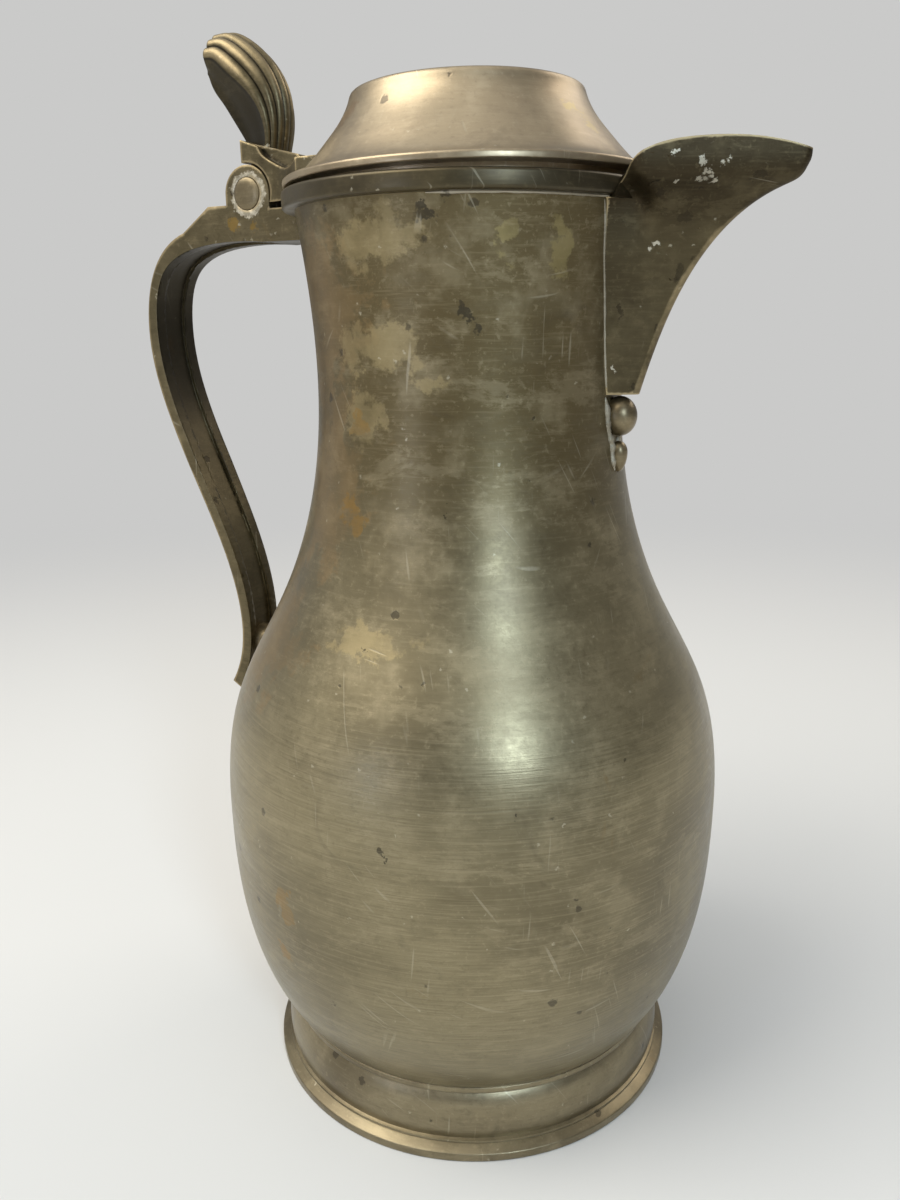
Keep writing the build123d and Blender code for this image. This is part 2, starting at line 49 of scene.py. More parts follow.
# The flagon's main sizes in millimetres, the same as the solids have
WALL = 2.2
FOOT_RADIUS, RIM_HEIGHT, FOOT_TOP = 60.0, 2.4, 17.8
BODY_FLOOR = 19.8
GIRTH_RADIUS, GIRTH = 70.5, 84.0
LIP_RADIUS, LIP_HEIGHT = 44.4, 241.7
BAND_BORE, BAND_RADIUS, BAND_TOP = 42.4, 47.6, 246.2
SPOUT_FOOT = 196.7
CHEEK_RUN = 1.8
LID_BASE = 246.5
LID_TOP = LID_BASE + 21.8
LID_STAND = math.radians(0.9)
PIN = Vector((-64.5, 0.0, 249.2))
PIN_RADIUS = 4.4

# Kinds of node that are used often
MATH, VECTOR, RANGE = "ShaderNodeMath", "ShaderNodeVectorMath", "ShaderNodeMapRange"
NOISE, CELLS, MAPPING = "ShaderNodeTexNoise", "ShaderNodeTexVoronoi", "ShaderNodeMapping"
MIX, WHOLE = "ShaderNodeMix", "FunctionNodeIntegerMath"
SMOOTH = {"interpolation_type": "SMOOTHSTEP"}


# Outlines
def smooth_line(points, start, end, count):
    """Points along a smooth curve through the given ones, with its direction given at both ends."""
    p = np.array(points, float)
    chord = np.linalg.norm(np.diff(p, axis=0), axis=1)
    t = np.concatenate([[0.0], np.cumsum(chord)])
    n = len(p)
    rows = np.zeros((n, n))
    right = np.zeros_like(p)
    for end_row, direction in ((0, start), (n - 1, end)):
        rows[end_row, end_row] = 1.0
        right[end_row] = np.array(direction, float) / np.linalg.norm(direction)
    for i in range(1, n - 1):
        before, after = chord[i - 1], chord[i]
        rows[i, i - 1 : i + 2] = (after, 2 * (before + after), before)
        right[i] = 3 * (
            after / before * (p[i] - p[i - 1]) + before / after * (p[i + 1] - p[i])
        )
    slope = np.linalg.solve(rows, right)
    out = []
    for where in np.linspace(0, t[-1], count):
        i = min(int(np.searchsorted(t, where, side="right")) - 1, n - 2)
        h = chord[i]
        u = (where - t[i]) / h
        out.append(
            (2 * u**3 - 3 * u**2 + 1) * p[i]
            + (u**3 - 2 * u**2 + u) * h * slope[i]
            + (3 * u**2 - 2 * u**3) * p[i + 1]
            + (u**3 - u**2) * h * slope[i + 1]
        )
    return [tuple(q) for q in out]


def moved_in(points, depth):
    """The same line moved to its left by a depth."""
    p = np.array(points, float)
    along = np.gradient(p, axis=0)
    along /= np.linalg.norm(along, axis=1, keepdims=True)
    return [tuple(q) for q in p + depth * np.stack([-along[:, 1], along[:, 0]], 1)]


def softened(corners, steps=4):
    """A closed outline whose corners (x, z, radius) are rounded; plain (x, z) points stay."""
    out = []
    count = len(corners)
    for i, corner in enumerate(corners):
        here = np.array(corner[:2], float)
        radius = corner[2] if len(corner) > 2 else 0.0
        if radius <= 0:
            out.append(tuple(here))
            continue
        back = np.array(corners[i - 1][:2], float) - here
        ahead = np.array(corners[(i + 1) % count][:2], float) - here
        back_length, ahead_length = np.linalg.norm(back), np.linalg.norm(ahead)
        back, ahead = back / back_length, ahead / ahead_length
        half = math.acos(max(-1.0, min(1.0, float(back @ ahead)))) / 2
        reach = min(radius / math.tan(half), 0.48 * back_length, 0.48 * ahead_length)
        radius = reach * math.tan(half)
        middle = here + (back + ahead) / np.linalg.norm(back + ahead) * radius / math.sin(half)
        first, last = here + back * reach - middle, here + ahead * reach - middle
        for step in range(steps + 1):
            mix = first * (1 - step / steps) + last * (step / steps)
            out.append(tuple(middle + mix / np.linalg.norm(mix) * radius))
    return out


# Making and finishing pieces
def add(tree, kind, inputs=(), output=0, **settings):
    """Adds a node with its settings, sets or links its inputs, and gives one of its outputs.

    inputs are values or outputs of other nodes, in the order of the sockets or by their names.
    """
    node = tree.nodes.new(kind)
    for name, value in settings.items():
        setattr(node, name, value)
    for name, value in (inputs if isinstance(inputs, dict) else dict(enumerate(inputs))).items():
        if isinstance(value, bpy.types.NodeSocket):
            tree.links.new(value, node.inputs[name])
        else:
            node.inputs[name].default_value = value
    return node.outputs[output] if node.outputs else None


def blank_tree(owner):
    """The emptied node tree of a material or of the world."""
    owner.use_nodes = True
    owner.node_tree.nodes.clear()
    return owner.node_tree


def new_object(name, data):
    """A new object in the scene that shows the given data."""
    made = bpy.data.objects.new(name, data)
    bpy.context.scene.collection.objects.link(made)
    return made


def baked(source, name):
    """The evaluated shape of an object as a plain new mesh object; the source is removed."""
    graph = bpy.context.evaluated_depsgraph_get()
    mesh = bpy.data.meshes.new_from_object(source.evaluated_get(graph), depsgraph=graph)
    bpy.data.objects.remove(source)
    mesh.name = name
    return new_object(name, mesh)


def closed_up(piece, turn=None):
    """Welds a piece, closes its open ends, points its faces outwards and turns it into place."""
    work = bmesh.new()
    work.from_mesh(piece.data)
    bmesh.ops.remove_doubles(work, verts=work.verts, dist=WELD)
    open_edges = [e for e in work.edges if e.is_boundary]
    if open_edges:
        bmesh.ops.holes_fill(work, edges=open_edges, sides=0)
    bmesh.ops.recalc_face_normals(work, faces=work.faces)
    if turn is not None:
        bmesh.ops.transform(work, matrix=turn, verts=work.verts)
    work.to_mesh(piece.data)
    work.free()


def finished(piece, body, material, nodes=(), crease=38.0):
    """Smooths a piece, gives it its material and hands it to the body that it belongs to."""
    piece.data.materials.clear()
    piece.data.materials.append(material)
    piece.data.polygons.foreach_set("use_smooth", [True] * len(piece.data.polygons))
    piece.data.polygons.foreach_set("material_index", [0] * len(piece.data.polygons))
    piece.data.set_sharp_from_angle(angle=math.radians(crease))
    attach(piece, body)
    if nodes:
        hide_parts(*nodes)


def mesh_piece(name, points, faces):
    """A new object from points in millimetres and faces."""
    mesh = bpy.data.meshes.new(name)
    mesh.from_pydata([tuple(c * MM for c in p) for p in points], [], faces)
    mesh.update()
    return new_object(name, mesh)


def loft_faces(rows, around):
    """The faces of a closed loft: rows of points, each with the same number around, and two ends."""
    faces = []
    for here in range(0, (rows - 1) * around, around):
        above = here + around
        for i in range(around):
            j = (i + 1) % around
            faces.append((here + i, here + j, above + j, above + i))
    last = range(rows * around - 1, (rows - 1) * around - 1, -1)
    return faces + [tuple(range(around)), tuple(last)]


def store(piece, **layers):
    """Stores values on the points of a piece, for its material to read."""
    for name, values in layers.items():
        layer = piece.data.attributes.new(name, "FLOAT", "POINT")
        layer.data.foreach_set("value", np.array(values, np.float32))


def carved(piece, cutter, name):
    """A piece with the space of a closed cutter taken out of it."""
    modifier = piece.modifiers.new("carve", "BOOLEAN")
    modifier.operation = "DIFFERENCE"
    modifier.solver = "EXACT"
    modifier.object = cutter
    result = baked(piece, name)
    bpy.data.objects.remove(cutter)
    return result


LID_TURN = (
    Matrix.Translation(PIN * MM)
    @ Matrix.Rotation(-LID_STAND, 4, "Y")
    @ Matrix.Translation(-PIN * MM)
)


# Turned pieces, by geometry nodes
WAVES_PER_METRE = 22.0


def turned_tree():
    """Turns a closed outline about the upright axis, with the slight unevenness of hand work."""
    tree = bpy.data.node_groups.new("turned_piece", "GeometryNodeTree")
    for name, kind in (
        ("Outline", "NodeSocketObject"),
        ("Around", "NodeSocketInt"),
        ("Start", "NodeSocketFloat"),
        ("Sweep", "NodeSocketFloat"),
        ("Unevenness", "NodeSocketFloat"),
        ("Seed", "NodeSocketFloat"),
        ("Finish", "NodeSocketMaterial"),
    ):
        tree.interface.new_socket(name, in_out="INPUT", socket_type=kind)
    tree.interface.new_socket("Geometry", in_out="OUTPUT", socket_type="NodeSocketGeometry")
    given = add(tree, "NodeGroupInput").node.outputs
    source = {"Object": given["Outline"]}
    outline = add(tree, "GeometryNodeObjectInfo", source, "Geometry", transform_space="ORIGINAL")
    count = add(tree, "GeometryNodeAttributeDomainSize", (outline,), "Point Count", component="CURVE")

    # A grid with a row for every point of the outline and a column for every step around
    columns = add(tree, WHOLE, (given["Around"], 1), operation="ADD")
    rows = add(tree, WHOLE, (count, 1), operation="ADD")
    grid = add(tree, "GeometryNodeMeshGrid", {"Vertices X": rows, "Vertices Y": columns}, "Mesh")
    index = add(tree, "GeometryNodeInputIndex")
    row = add(tree, WHOLE, (index, columns), operation="DIVIDE_FLOOR")
    column = add(tree, WHOLE, (index, columns), operation="MODULO")
    along = add(tree, WHOLE, (row, count), operation="MODULO")
    place = add(tree, "GeometryNodeInputPosition")
    wanted = {"Geometry": outline, "Value": place, "Index": along}
    point = add(tree, "GeometryNodeSampleIndex", wanted, data_type="FLOAT_VECTOR")
    radius = add(tree, "ShaderNodeSeparateXYZ", (point,), "X")

    # Each point goes out by its radius at its column's angle, and up by its height
    share = add(tree, MATH, (column, given["Around"]), operation="DIVIDE")
    angle = add(tree, MATH, (share, given["Sweep"], given["Start"]), operation="MULTIPLY_ADD")
    cosine = add(tree, MATH, (angle,), operation="COSINE")
    sine = add(tree, MATH, (angle,), operation="SINE")
    outwards = add(tree, "ShaderNodeCombineXYZ", {"X": cosine, "Y": sine})
    flat = add(tree, VECTOR, {0: outwards, "Scale": radius}, operation="SCALE")
    height = add(tree, "ShaderNodeCombineXYZ", {"Z": radius.node.outputs["Z"]})
    spot = add(tree, VECTOR, (flat, height), operation="ADD")

    # Slow waves push it in or out a little
    pattern = {"Vector": spot, "W": given["Seed"], "Scale": WAVES_PER_METRE, "Detail": 1.0}
    waves = add(tree, NOISE, pattern, noise_dimensions="4D")
    centred = add(tree, MATH, (waves, 0.5), operation="SUBTRACT")
    push = add(tree, MATH, (centred, given["Unevenness"]), operation="MULTIPLY")
    shift = add(tree, VECTOR, {0: outwards, "Scale": push}, operation="SCALE")
    final = add(tree, VECTOR, (spot, shift), operation="ADD")
    placed = add(tree, "GeometryNodeSetPosition", {"Geometry": grid, "Position": final})
    welded = add(tree, "GeometryNodeMergeByDistance", {"Geometry": placed, "Distance": WELD})
    real = add(tree, "GeometryNodeRealizeInstances", {"Geometry": welded})
    shown = add(tree, "GeometryNodeSetMaterial", {"Geometry": real, "Material": given["Finish"]})
    add(tree, "NodeGroupOutput", {"Geometry": shown})
    return tree


TURNING = turned_tree()


def turned(name, outline, material, around=180, gap=0.0, uneven=0.0, seed=1.0, turn=None):
    """A piece turned from a closed outline of (radius, height) in millimetres."""
    curve = bpy.data.curves.new(name + "_outline", "CURVE")
    curve.dimensions = "3D"
    line = curve.splines.new("POLY")
    line.points.add(len(outline) - 1)
    for point, (radius, height) in zip(line.points, outline):
        point.co = (radius * MM, 0.0, height * MM, 1.0)
    line.use_cyclic_u = True
    guide = new_object(name + "_outline", curve)
    blank = new_object(name + "_blank", bpy.data.meshes.new(name))
    modifier = blank.modifiers.new("turning", "NODES")
    modifier.node_group = TURNING
    sockets = {s.name: s.identifier for s in TURNING.interface.items_tree if s.in_out == "INPUT"}
    modifier[sockets["Outline"]] = guide
    modifier[sockets["Around"]] = around
    modifier[sockets["Start"]] = math.radians(gap)
    modifier[sockets["Sweep"]] = math.radians(360 - 2 * gap)
    modifier[sockets["Unevenness"]] = uneven * MM
    modifier[sockets["Seed"]] = seed
    modifier[sockets["Finish"]] = material
    piece = baked(blank, name)
    bpy.data.objects.remove(guide)
    closed_up(piece, turn)
    return piece


# Finishes
def shade(code):
    """A colour written as an sRGB hex code, in linear values."""
    parts = [int(code[i : i + 2], 16) / 255 for i in (0, 2, 4)]
    return tuple(p / 12.92 if p <= 0.04045 else ((p + 0.055) / 1.055) ** 2.4 for p in parts) + (1.0,)


def per_metre(*sizes):
    """The scale of a pattern from the size of its cells in millimetres, or from one for each axis."""
    scales = tuple(1 / (size * MM) for size in sizes)
    return scales if len(scales) > 1 else scales[0]


# Noises in the metal: size of a cell in millimetres along x, y and z, detail, roughness, distortion
METAL_NOISES = {
    "cloud": ((52.6, 52.6, 52.6), 4.0, 0.55, 0.3),
    "mottle": ((11.76, 11.76, 11.76), 5.0, 0.62, 0.0),
    "ragged": ((7.14, 7.14, 7.14), 5.0, 0.68, 0.0),
    "grain": ((1.43, 1.43, 1.43), 3.0, 0.65, 0.0),
    "crumbled": ((1.613, 1.613, 1.613), 3.0, 0.7, 0.0),
    "brushed": ((9.09, 9.09, 0.667), 2.0, 0.6, 0.0),
    "smear": ((21.74, 21.74, 8.33), 6.0, 0.76, 0.25),
    "smudge": ((21.3, 21.3, 21.3), 4.0, 0.7, 0.8),
    "stain": ((30.3, 30.3, 50.5), 5.0, 0.66, 1.2),
}
# Grooves of the turning tool, drawn about twice as coarse as real ones so that they show
TOOL_NOISES = {
    "coarse": ((17.24, 17.24, 0.526), 2.0, 0.6, 0.0),
    "fine": ((12.5, 12.5, 0.278), 1.0, 0.5, 0.0),
}
SOOT, OCHRE, PIT, DUST, SCRATCH = "3c3324", "8a6a34", "2b2419", "cfc7ae", "c4bba2"
# The second of these is the near-black of painted shade in hollows and creases
POLISH, HOLLOW_SHADE, RUBBED = "d2c9b2", "1c1810", "b5a27c"


def strongest(tree, shares):
    """The largest of several shares at each place."""
    total = shares[0]
    for share in shares[1:]:
        total = add(tree, MATH, (total, share), operation="MAXIMUM")
    return total


def torn(tree, place, cell, reach):
    """Places shaken by up to half a reach, which tears the outline of what they place; both in mm."""
    pattern = {"Vector": place, "Scale": per_metre(cell), "Detail": 5.0, "Roughness": 0.7}
    shake = add(tree, NOISE, pattern, 1)
    moved = add(tree, VECTOR, (shake, (reach * MM,) * 3, place), operation="MULTIPLY_ADD")
    return add(tree, VECTOR, (moved, (0.5 * reach * MM,) * 3), operation="SUBTRACT")


def spots(tree, place, marks, edge):
    """How much a place lies within any of the marks (x, y, z, half width, half height) in millimetres."""
    shares = []
    for x, y, z, wide, tall in marks:
        offset = add(tree, VECTOR, (place, (x * MM, y * MM, z * MM)), operation="SUBTRACT")
        shrunk = add(tree, VECTOR, (offset, per_metre(wide, wide, tall)), operation="MULTIPLY")
        away = add(tree, VECTOR, (shrunk,), "Value", operation="LENGTH")
        # An edge noise about its middle, 0.5, puts the border at 0.65 to 0.95 of the mark's size
        frayed = add(tree, MATH, (edge, 2.2, away), operation="MULTIPLY_ADD")
        shares.append(add(tree, RANGE, (frayed, 1.75, 2.05, 1.0, 0.0), **SMOOTH))
    return strongest(tree, shares)


def dried_polish(tree, place, crust, ragged, crumbled):
    """A ragged round of dried polish about an axis along Y: x, z and radius in millimetres."""
    x, z, reach = crust
    flat = add(tree, VECTOR, (place, (1, 0, 1)), operation="MULTIPLY")
    away = add(tree, VECTOR, (flat, (x * MM, 0, z * MM)), "Value", operation="DISTANCE")
    for value, depth in ((ragged, 4.0), (crumbled, 3.5)):
        centred = add(tree, MATH, (value, 0.5), operation="SUBTRACT")
        away = add(tree, MATH, (centred, depth * MM, away), operation="MULTIPLY_ADD")
    dried = add(tree, RANGE, (away, (reach - 0.4) * MM, (reach + 0.4) * MM, 1.0, 0.0), **SMOOTH)
    broken = add(tree, RANGE, (crumbled, 0.38, 0.54, 0.9, 0.45), **SMOOTH)
    return add(tree, MATH, (dried, broken), operation="MULTIPLY")


def pits(tree, shaken):
    """Small dark holes of uneven shape and size, in one of seven cells of 5 mm."""
    away = add(tree, CELLS, {"Vector": shaken, "Scale": per_metre(5.263)}, "Distance")
    chance = add(tree, "ShaderNodeSeparateColor", (away.node.outputs["Color"],), 0)
    size = add(tree, RANGE, (chance, 0.86, 1.0, 0.0, 0.22), **SMOOTH)
    edge = add(tree, MATH, (away, size), operation="SUBTRACT")
    return add(tree, RANGE, (edge, -0.04, 0.04, 1.0, 0.0), **SMOOTH)


def specks(tree, shaken):
    """Fine pale dots where dust and polish sit, in one of sixteen cells of 2.3 mm."""
    away = add(tree, CELLS, {"Vector": shaken, "Scale": per_metre(2.326)}, "Distance")
    chance = add(tree, "ShaderNodeSeparateColor", (away.node.outputs["Color"],), 1)
    dot = add(tree, RANGE, (away, 0.06, 0.22, 1.0, 0.0), **SMOOTH)
    chosen = add(tree, RANGE, (chance, 0.92, 0.96), **SMOOTH)
    return add(tree, MATH, (dot, chosen), operation="MULTIPLY")


def scratches(tree, place):
    """Thin straight strokes that run three ways, about 15 mm long, in patches of a few centimetres."""
    strokes = []
    for turn, cell, patch in (
        ((0.5, 0.3, 0.9), (0.6667, 14.29, 14.29), 28.99),
        ((1.9, 0.8, 0.2), (0.7692, 12.5, 16.67), 21.23),
        ((0.2, 1.3, 2.2), (0.625, 16.67, 12.5), 31.45),
    ):
        turned_place = add(tree, MAPPING, {"Vector": place, "Rotation": turn})
        stretched = add(tree, MAPPING, {"Vector": turned_place, "Scale": per_metre(*cell)})
        line = {"Vector": stretched, "Scale": 1.0, "Detail": 0.0}
        around = {"Vector": place, "Scale": per_metre(patch), "Detail": 1.0, "Roughness": 0.55}
        thin = add(tree, RANGE, (add(tree, NOISE, line), 0.74, 0.82), **SMOOTH)
        where = add(tree, RANGE, (add(tree, NOISE, around), 0.54, 0.66), **SMOOTH)
        strokes.append(add(tree, MATH, (thin, where), operation="MULTIPLY"))
    return strongest(tree, strokes)


def tool_grooves(tree, upright, lines, coarse, fine):
    """Marks of the turning tool about nought, between two heights in millimetres."""
    low, high = lines
    above = add(tree, RANGE, (upright, (low - 6) * MM, low * MM), **SMOOTH)
    below = add(tree, RANGE, (upright, high * MM, (high + 22) * MM, 1.0, 0.0), **SMOOTH)
    band = add(tree, MATH, (above, below), operation="MULTIPLY")
    groove = add(tree, MATH, (fine, 0.6, coarse), operation="MULTIPLY_ADD")
    centred = add(tree, MATH, (groove, 0.8), operation="SUBTRACT")
    return add(tree, MATH, (centred, band), operation="MULTIPLY")


def pewter(
    name, base, deep, pale, rough=0.42, lines=None, marks=(), wear=0.0, soot=0.4, painted_shade_band=None, coat=0.3,
    crust=None, smeared=0.2,
):
    """Old cast pewter: cloudy patina, pale rubbed places, brown stains, pits, scratches and specks.

    base, deep and pale are its colours. lines is a height range in millimetres that shows the marks of
    the turning tool. marks are groups of placed patches, each with its colour and strength. A darker
    colour of painted shade can come in between two heights, with its strength. wear is how bright the
    edges are that a piece stores as rubbed, and it also brings in the painted shade that a piece stores
    in its hollows; soot is how dark the smudges, smeared how strong the wiped streaks, and coat how
    strong the gloss of old wax. crust is where polish dried about a pin: x, z and radius.
    """
    material = bpy.data.materials.new(name)
    tree = blank_tree(material)
    place = add(tree, "ShaderNodeTexCoord", output="Object")
    upright = add(tree, "ShaderNodeSeparateXYZ", (place,), "Z")
    noises = {}
    for word, (cell, detail, roughness, warp) in (METAL_NOISES | (TOOL_NOISES if lines else {})).items():
        scaled = add(tree, MAPPING, {"Vector": place, "Scale": per_metre(*cell)})
        pattern = {"Scale": 1.0, "Detail": detail, "Roughness": roughness, "Distortion": warp}
        noises[word] = add(tree, NOISE, {"Vector": scaled} | pattern)
    cloud, mottle, grain, brushed = (noises[word] for word in ("cloud", "mottle", "grain", "brushed"))
    ragged, crumbled, smear = noises["ragged"], noises["crumbled"], noises["smear"]

    # Layers: what shows each, the two values that it changes between, its strength there, its colour
    layers = [(cloud, 0.30, 0.66, 0.0, 1.0, base)]
    # Painted shade: a darker colour that comes in between two heights
    if painted_shade_band:
        code, none_at, full_at, strength = painted_shade_band
        level = add(tree, MATH, (cloud, 12 * MM, upright), operation="MULTIPLY_ADD")
        layers.append((level, none_at * MM, full_at * MM, 0.0, strength, code))
    layers += [
        (mottle, 0.48, 0.70, 0.0, 0.35, pale),
        (brushed, 0.50, 0.74, 0.0, 0.16, pale),
        (brushed, 0.28, 0.48, 0.16, 0.0, deep),
        (grain, 0.56, 0.72, 0.0, 0.28, pale),
        (grain, 0.30, 0.44, 0.30, 0.0, deep),
        (smear, 0.53, 0.62, 0.0, smeared, pale),
        (smear, 0.38, 0.47, 1.3 * smeared, 0.0, deep),
        (noises["smudge"], 0.60, 0.78, 0.0, soot, SOOT),
        (noises["stain"], 0.64, 0.76, 0.0, 0.40, OCHRE),
    ]
    shares = [(add(tree, RANGE, layer[:5], **SMOOTH), layer[5]) for layer in layers]
    for code, strength, group in marks:
        small = max(mark[3] for mark in group) < 3
        shaken = torn(tree, place, 2.083, 4.5) if small else torn(tree, place, 16.13, 22.0)
        inside = spots(tree, shaken, group, crumbled if small else ragged)
        broken = add(tree, RANGE, (mottle, 0.36, 0.56, 0.55 * strength, strength), **SMOOTH)
        shares.append((add(tree, MATH, (inside, broken), operation="MULTIPLY"), code))
    if crust:
        shares.append((dried_polish(tree, place, crust, ragged, crumbled), POLISH))
    shake = add(tree, NOISE, {"Vector": place, "Scale": per_metre(1.111)}, 1)
    shaken = add(tree, VECTOR, (shake, (1.8 * MM,) * 3, place), operation="MULTIPLY_ADD")
    pit, speck, scratch = pits(tree, shaken), specks(tree, shaken), scratches(tree, place)
    for value, strength, code in ((pit, 0.6, PIT), (speck, 0.45, DUST), (scratch, 0.28, SCRATCH)):
        shares.append((add(tree, MATH, (value, strength), operation="MULTIPLY"), code))

    relief = [(grain, 0.10), (cloud, 0.5), (mottle, 0.22), (brushed, 0.06), (pit, -0.25), (scratch, -0.08)]
    late = []
    if lines:
        groove = tool_grooves(tree, upright, lines, noises["coarse"], noises["fine"])
        relief.append((groove, 0.24))
        late += [(groove, 0.03, 0.20, 0.0, 0.22, pale), (groove, -0.20, -0.04, 0.28, 0.0, deep)]
    if wear:
        # Painted shade that a piece stores in its hollows and creases, and its edges rubbed bright
        sunk = add(tree, "ShaderNodeAttribute", output="Fac", attribute_name="sunk")
        worn = add(tree, "ShaderNodeAttribute", output="Fac", attribute_name="wear")
        uneven = add(tree, MATH, (mottle, 1.4, worn), operation="MULTIPLY_ADD")
        late += [(sunk, 0.1, 0.9, 0.0, 0.85, HOLLOW_SHADE), (uneven, 0.95, 1.5, 0.0, wear, RUBBED)]
    shares += [(add(tree, RANGE, layer[:5], **SMOOTH), layer[5]) for layer in late]

    colour = shade(deep)
    for share, code in shares:
        colour = add(tree, MIX, {0: share, 6: colour, 7: shade(code)}, 2, data_type="RGBA")
    height = 0.0
    for value, depth in relief:
        height = add(tree, MATH, (value, depth, height), operation="MULTIPLY_ADD")
    roughness = rough
    for value, strength in ((mottle, 0.35), (grain, 0.20)):
        centred = add(tree, MATH, (value, 0.5), operation="SUBTRACT")
        roughness = add(tree, MATH, (centred, strength, roughness), operation="MULTIPLY_ADD")
    bump = add(tree, "ShaderNodeBump", {"Height": height, "Distance": 0.35 * MM, "Strength": 0.5})
    surface = {
        "Base Color": colour, "Metallic": 0.82, "Roughness": roughness, "Normal": bump,
        "Coat Weight": coat, "Coat Roughness": 0.34,
    }
    shader = add(tree, "ShaderNodeBsdfPrincipled", surface)
    add(tree, "ShaderNodeOutputMaterial", {"Surface": shader})
    return material


# Placed patches in millimetres: x, y, z of the middle, half width and half height
WARM_VEIL = [(-24, -32, 216, 20, 26), (-22, -36, 176, 17, 30), (-36, -36, 132, 22, 20)]
TAN_PATCHES = [
    (-1.9, -43, 233, 13.0, 8.5), (-3.5, -41.0, 208.6, 11.0, 6.0), (7.9, -39.8, 201.0, 6.0, 4.0),
    (0.5, -53, 140.2, 13, 4.2), (-8.8, -39.6, 190.6, 6.5, 7.5), (-12, -39, 204, 5.0, 9.0),
]
OLIVE_PATCHES = [(35.0, -24.2, 229, 4.0, 8.5), (25, -33.0, 232, 3.0, 7.0)]
OCHRE_STAINS = [
    (-10.3, -39.3, 190.1, 4.0, 3.2), (-12.6, -41.8, 167.7, 3.6, 6.0), (-21.1, -66.8, 71.4, 4.0, 4.5),
    (-20.5, -65.1, 55.9, 4.5, 3.0),
]
DARK_SPOTS = [
    (17.2, -37.2, 216.2, 2.3, 1.6), (19.0, -36.5, 213.6, 1.6, 2.0), (12.5, -41.4, 170.1, 1.3, 1.0),
    (38.7, -47.4, 125.7, 1.3, 1.3), (10.6, -68.9, 95.3, 1.2, 1.3), (39.1, -55.8, 105.3, 1.4, 1.3),
    (-9, -66.2, 47.4, 1.8, 1.2), (-9.8, -69.4, 91.8, 1.2, 1.4), (0.2, -54.2, 138.2, 1.2, 1.2),
    (9.5, -42.0, 239.0, 4.5, 1.6),
]
BODY_MARKS = [
    ("93784f", 0.45, WARM_VEIL), ("a6956b", 0.56, TAN_PATCHES), ("97895a", 0.60, OLIVE_PATCHES),
    ("94702c", 0.60, OCHRE_STAINS), ("2a2418", 0.75, DARK_SPOTS),
]
SPOUT_SPECKS = [
    (62.8, -12.6, 247.9, 0.9, 1.3), (63.7, -10.9, 245.6, 1.2, 1.8), (64.6, -9.1, 244.1, 1.3, 0.9),
    (61.8, -11.1, 244.5, 0.7, 0.8), (66.5, -10.3, 247.3, 0.8, 0.8), (67.6, -10.0, 248.3, 0.6, 0.7),
    (57.7, -15.8, 249.5, 0.6, 0.7), (57.5, -13.1, 244.1, 0.6, 0.8), (51.7, -7.2, 231.6, 0.8, 0.7),
    (50.7, -7.1, 230.1, 0.6, 0.9), (41.9, -5.2, 203.2, 0.6, 1.0),
]
SPOUT_BLOTS = [
    (60.4, -0.3, 227.9, 2.4, 2.0), (56.6, -1.4, 224.6, 2.0, 2.6), (58.2, -6.7, 237.0, 2.0, 1.2),
    (53.7, -13.0, 241.7, 1.2, 2.2), (73.5, -4.8, 245.0, 2.6, 1.2), (43.6, -7.2, 216.5, 0.8, 2.4),
]
SPOUT_MARKS = [("2b2418", 0.6, SPOUT_BLOTS), ("cfc8b4", 0.75, SPOUT_SPECKS)]
SHELL_DEPOSIT = [
    (x, side * 5.8, 262.6 - 0.27 * (x + 64.4), width, 0.5)
    for side in (-1, 1)
    for x, width in ((-64.0, 1.4), (-62.2, 1.3), (-60.4, 1.5), (-58.6, 1.3), (-57.0, 1.2), (-55.6, 1.0))
]
HANDLE_MARKS = [
    ("8f6f2a", 0.55, [(-69.6, -8.0, 241.3, 2.3, 2.4), (-63.0, -8.0, 240.5, 1.6, 1.5)]),
    ("cdc4ae", 0.8, SHELL_DEPOSIT),
]
LID_MARKS = [
    ("8c6537", 0.5, [(-19.5, -23.2, 263.0, 4.0, 3.5), (-21.5, -25.0, 259.5, 3.0, 2.5)]),
    ("b3a264", 0.5, [(33.2, -8.4, 257.8, 3.2, 2.2), (30.4, -10.6, 261.4, 4.0, 2.0)]),
]

# Olive grey body metal, with the marks of turning on the belly, placed patches, and a darker colour from
# the shoulder up as painted shade
body_pewter = pewter(
    "aged_pewter", "8b8062", "6b6147", "a99c7c", 0.40, (24.0, 112.0), BODY_MARKS,
    painted_shade_band=("5e502f", 142, 198, 0.85), smeared=0.25,
)
# The band under the lid is the same metal in darker colours
band_pewter = pewter("band_pewter", "50462e", "3a3220", "6b5f43", 0.42, wear=0.4)
# The foot shows no tool marks and is a little smoother, from being wiped and set down
foot_pewter = pewter("foot_pewter", "8b7f63", "665b44", "a99c7d", 0.38)
# The spout's colours are darkened as painted shade for the dim room that it mirrors, and darker still near
# its rim; it is dull with pale specks
spout_pewter = pewter(
    "dark_pewter", "62573e", "443b28", "786c50", 0.52, None, SPOUT_MARKS, wear=0.8, soot=0.6,
    painted_shade_band=("2f2617", 236, 247, 0.75), coat=0.0,
)
# The lid is a warmer and brighter bronze grey, with a few stains
lid_metal = pewter("lid_pewter", "a8977a", "887860", "c2b295", 0.37, None, LID_MARKS)
# Cast handle, arm and shell: painted shade in their hollows and creases, darkest on the strap's inner face,
# and edges rubbed bright by hands
handle_metal = pewter(
    "handle_pewter", "6d6248", "4a412b", "8d7f60", 0.42, None, HANDLE_MARKS, wear=0.55, soot=0.5,
    coat=0.04, crust=(-64.1, 249.1, 5.9),
)
# Small beads and pin ends, polished by touch
bead_metal = pewter("bead_pewter", "85775a", "5c5038", "aa9a78", 0.34)
# Soft solder: whitish grey, dull and lumpy
solder_metal = pewter("solder", "c0b8a4", "8f8775", "d8d1bf", 0.6, soot=0.25, coat=0.0)


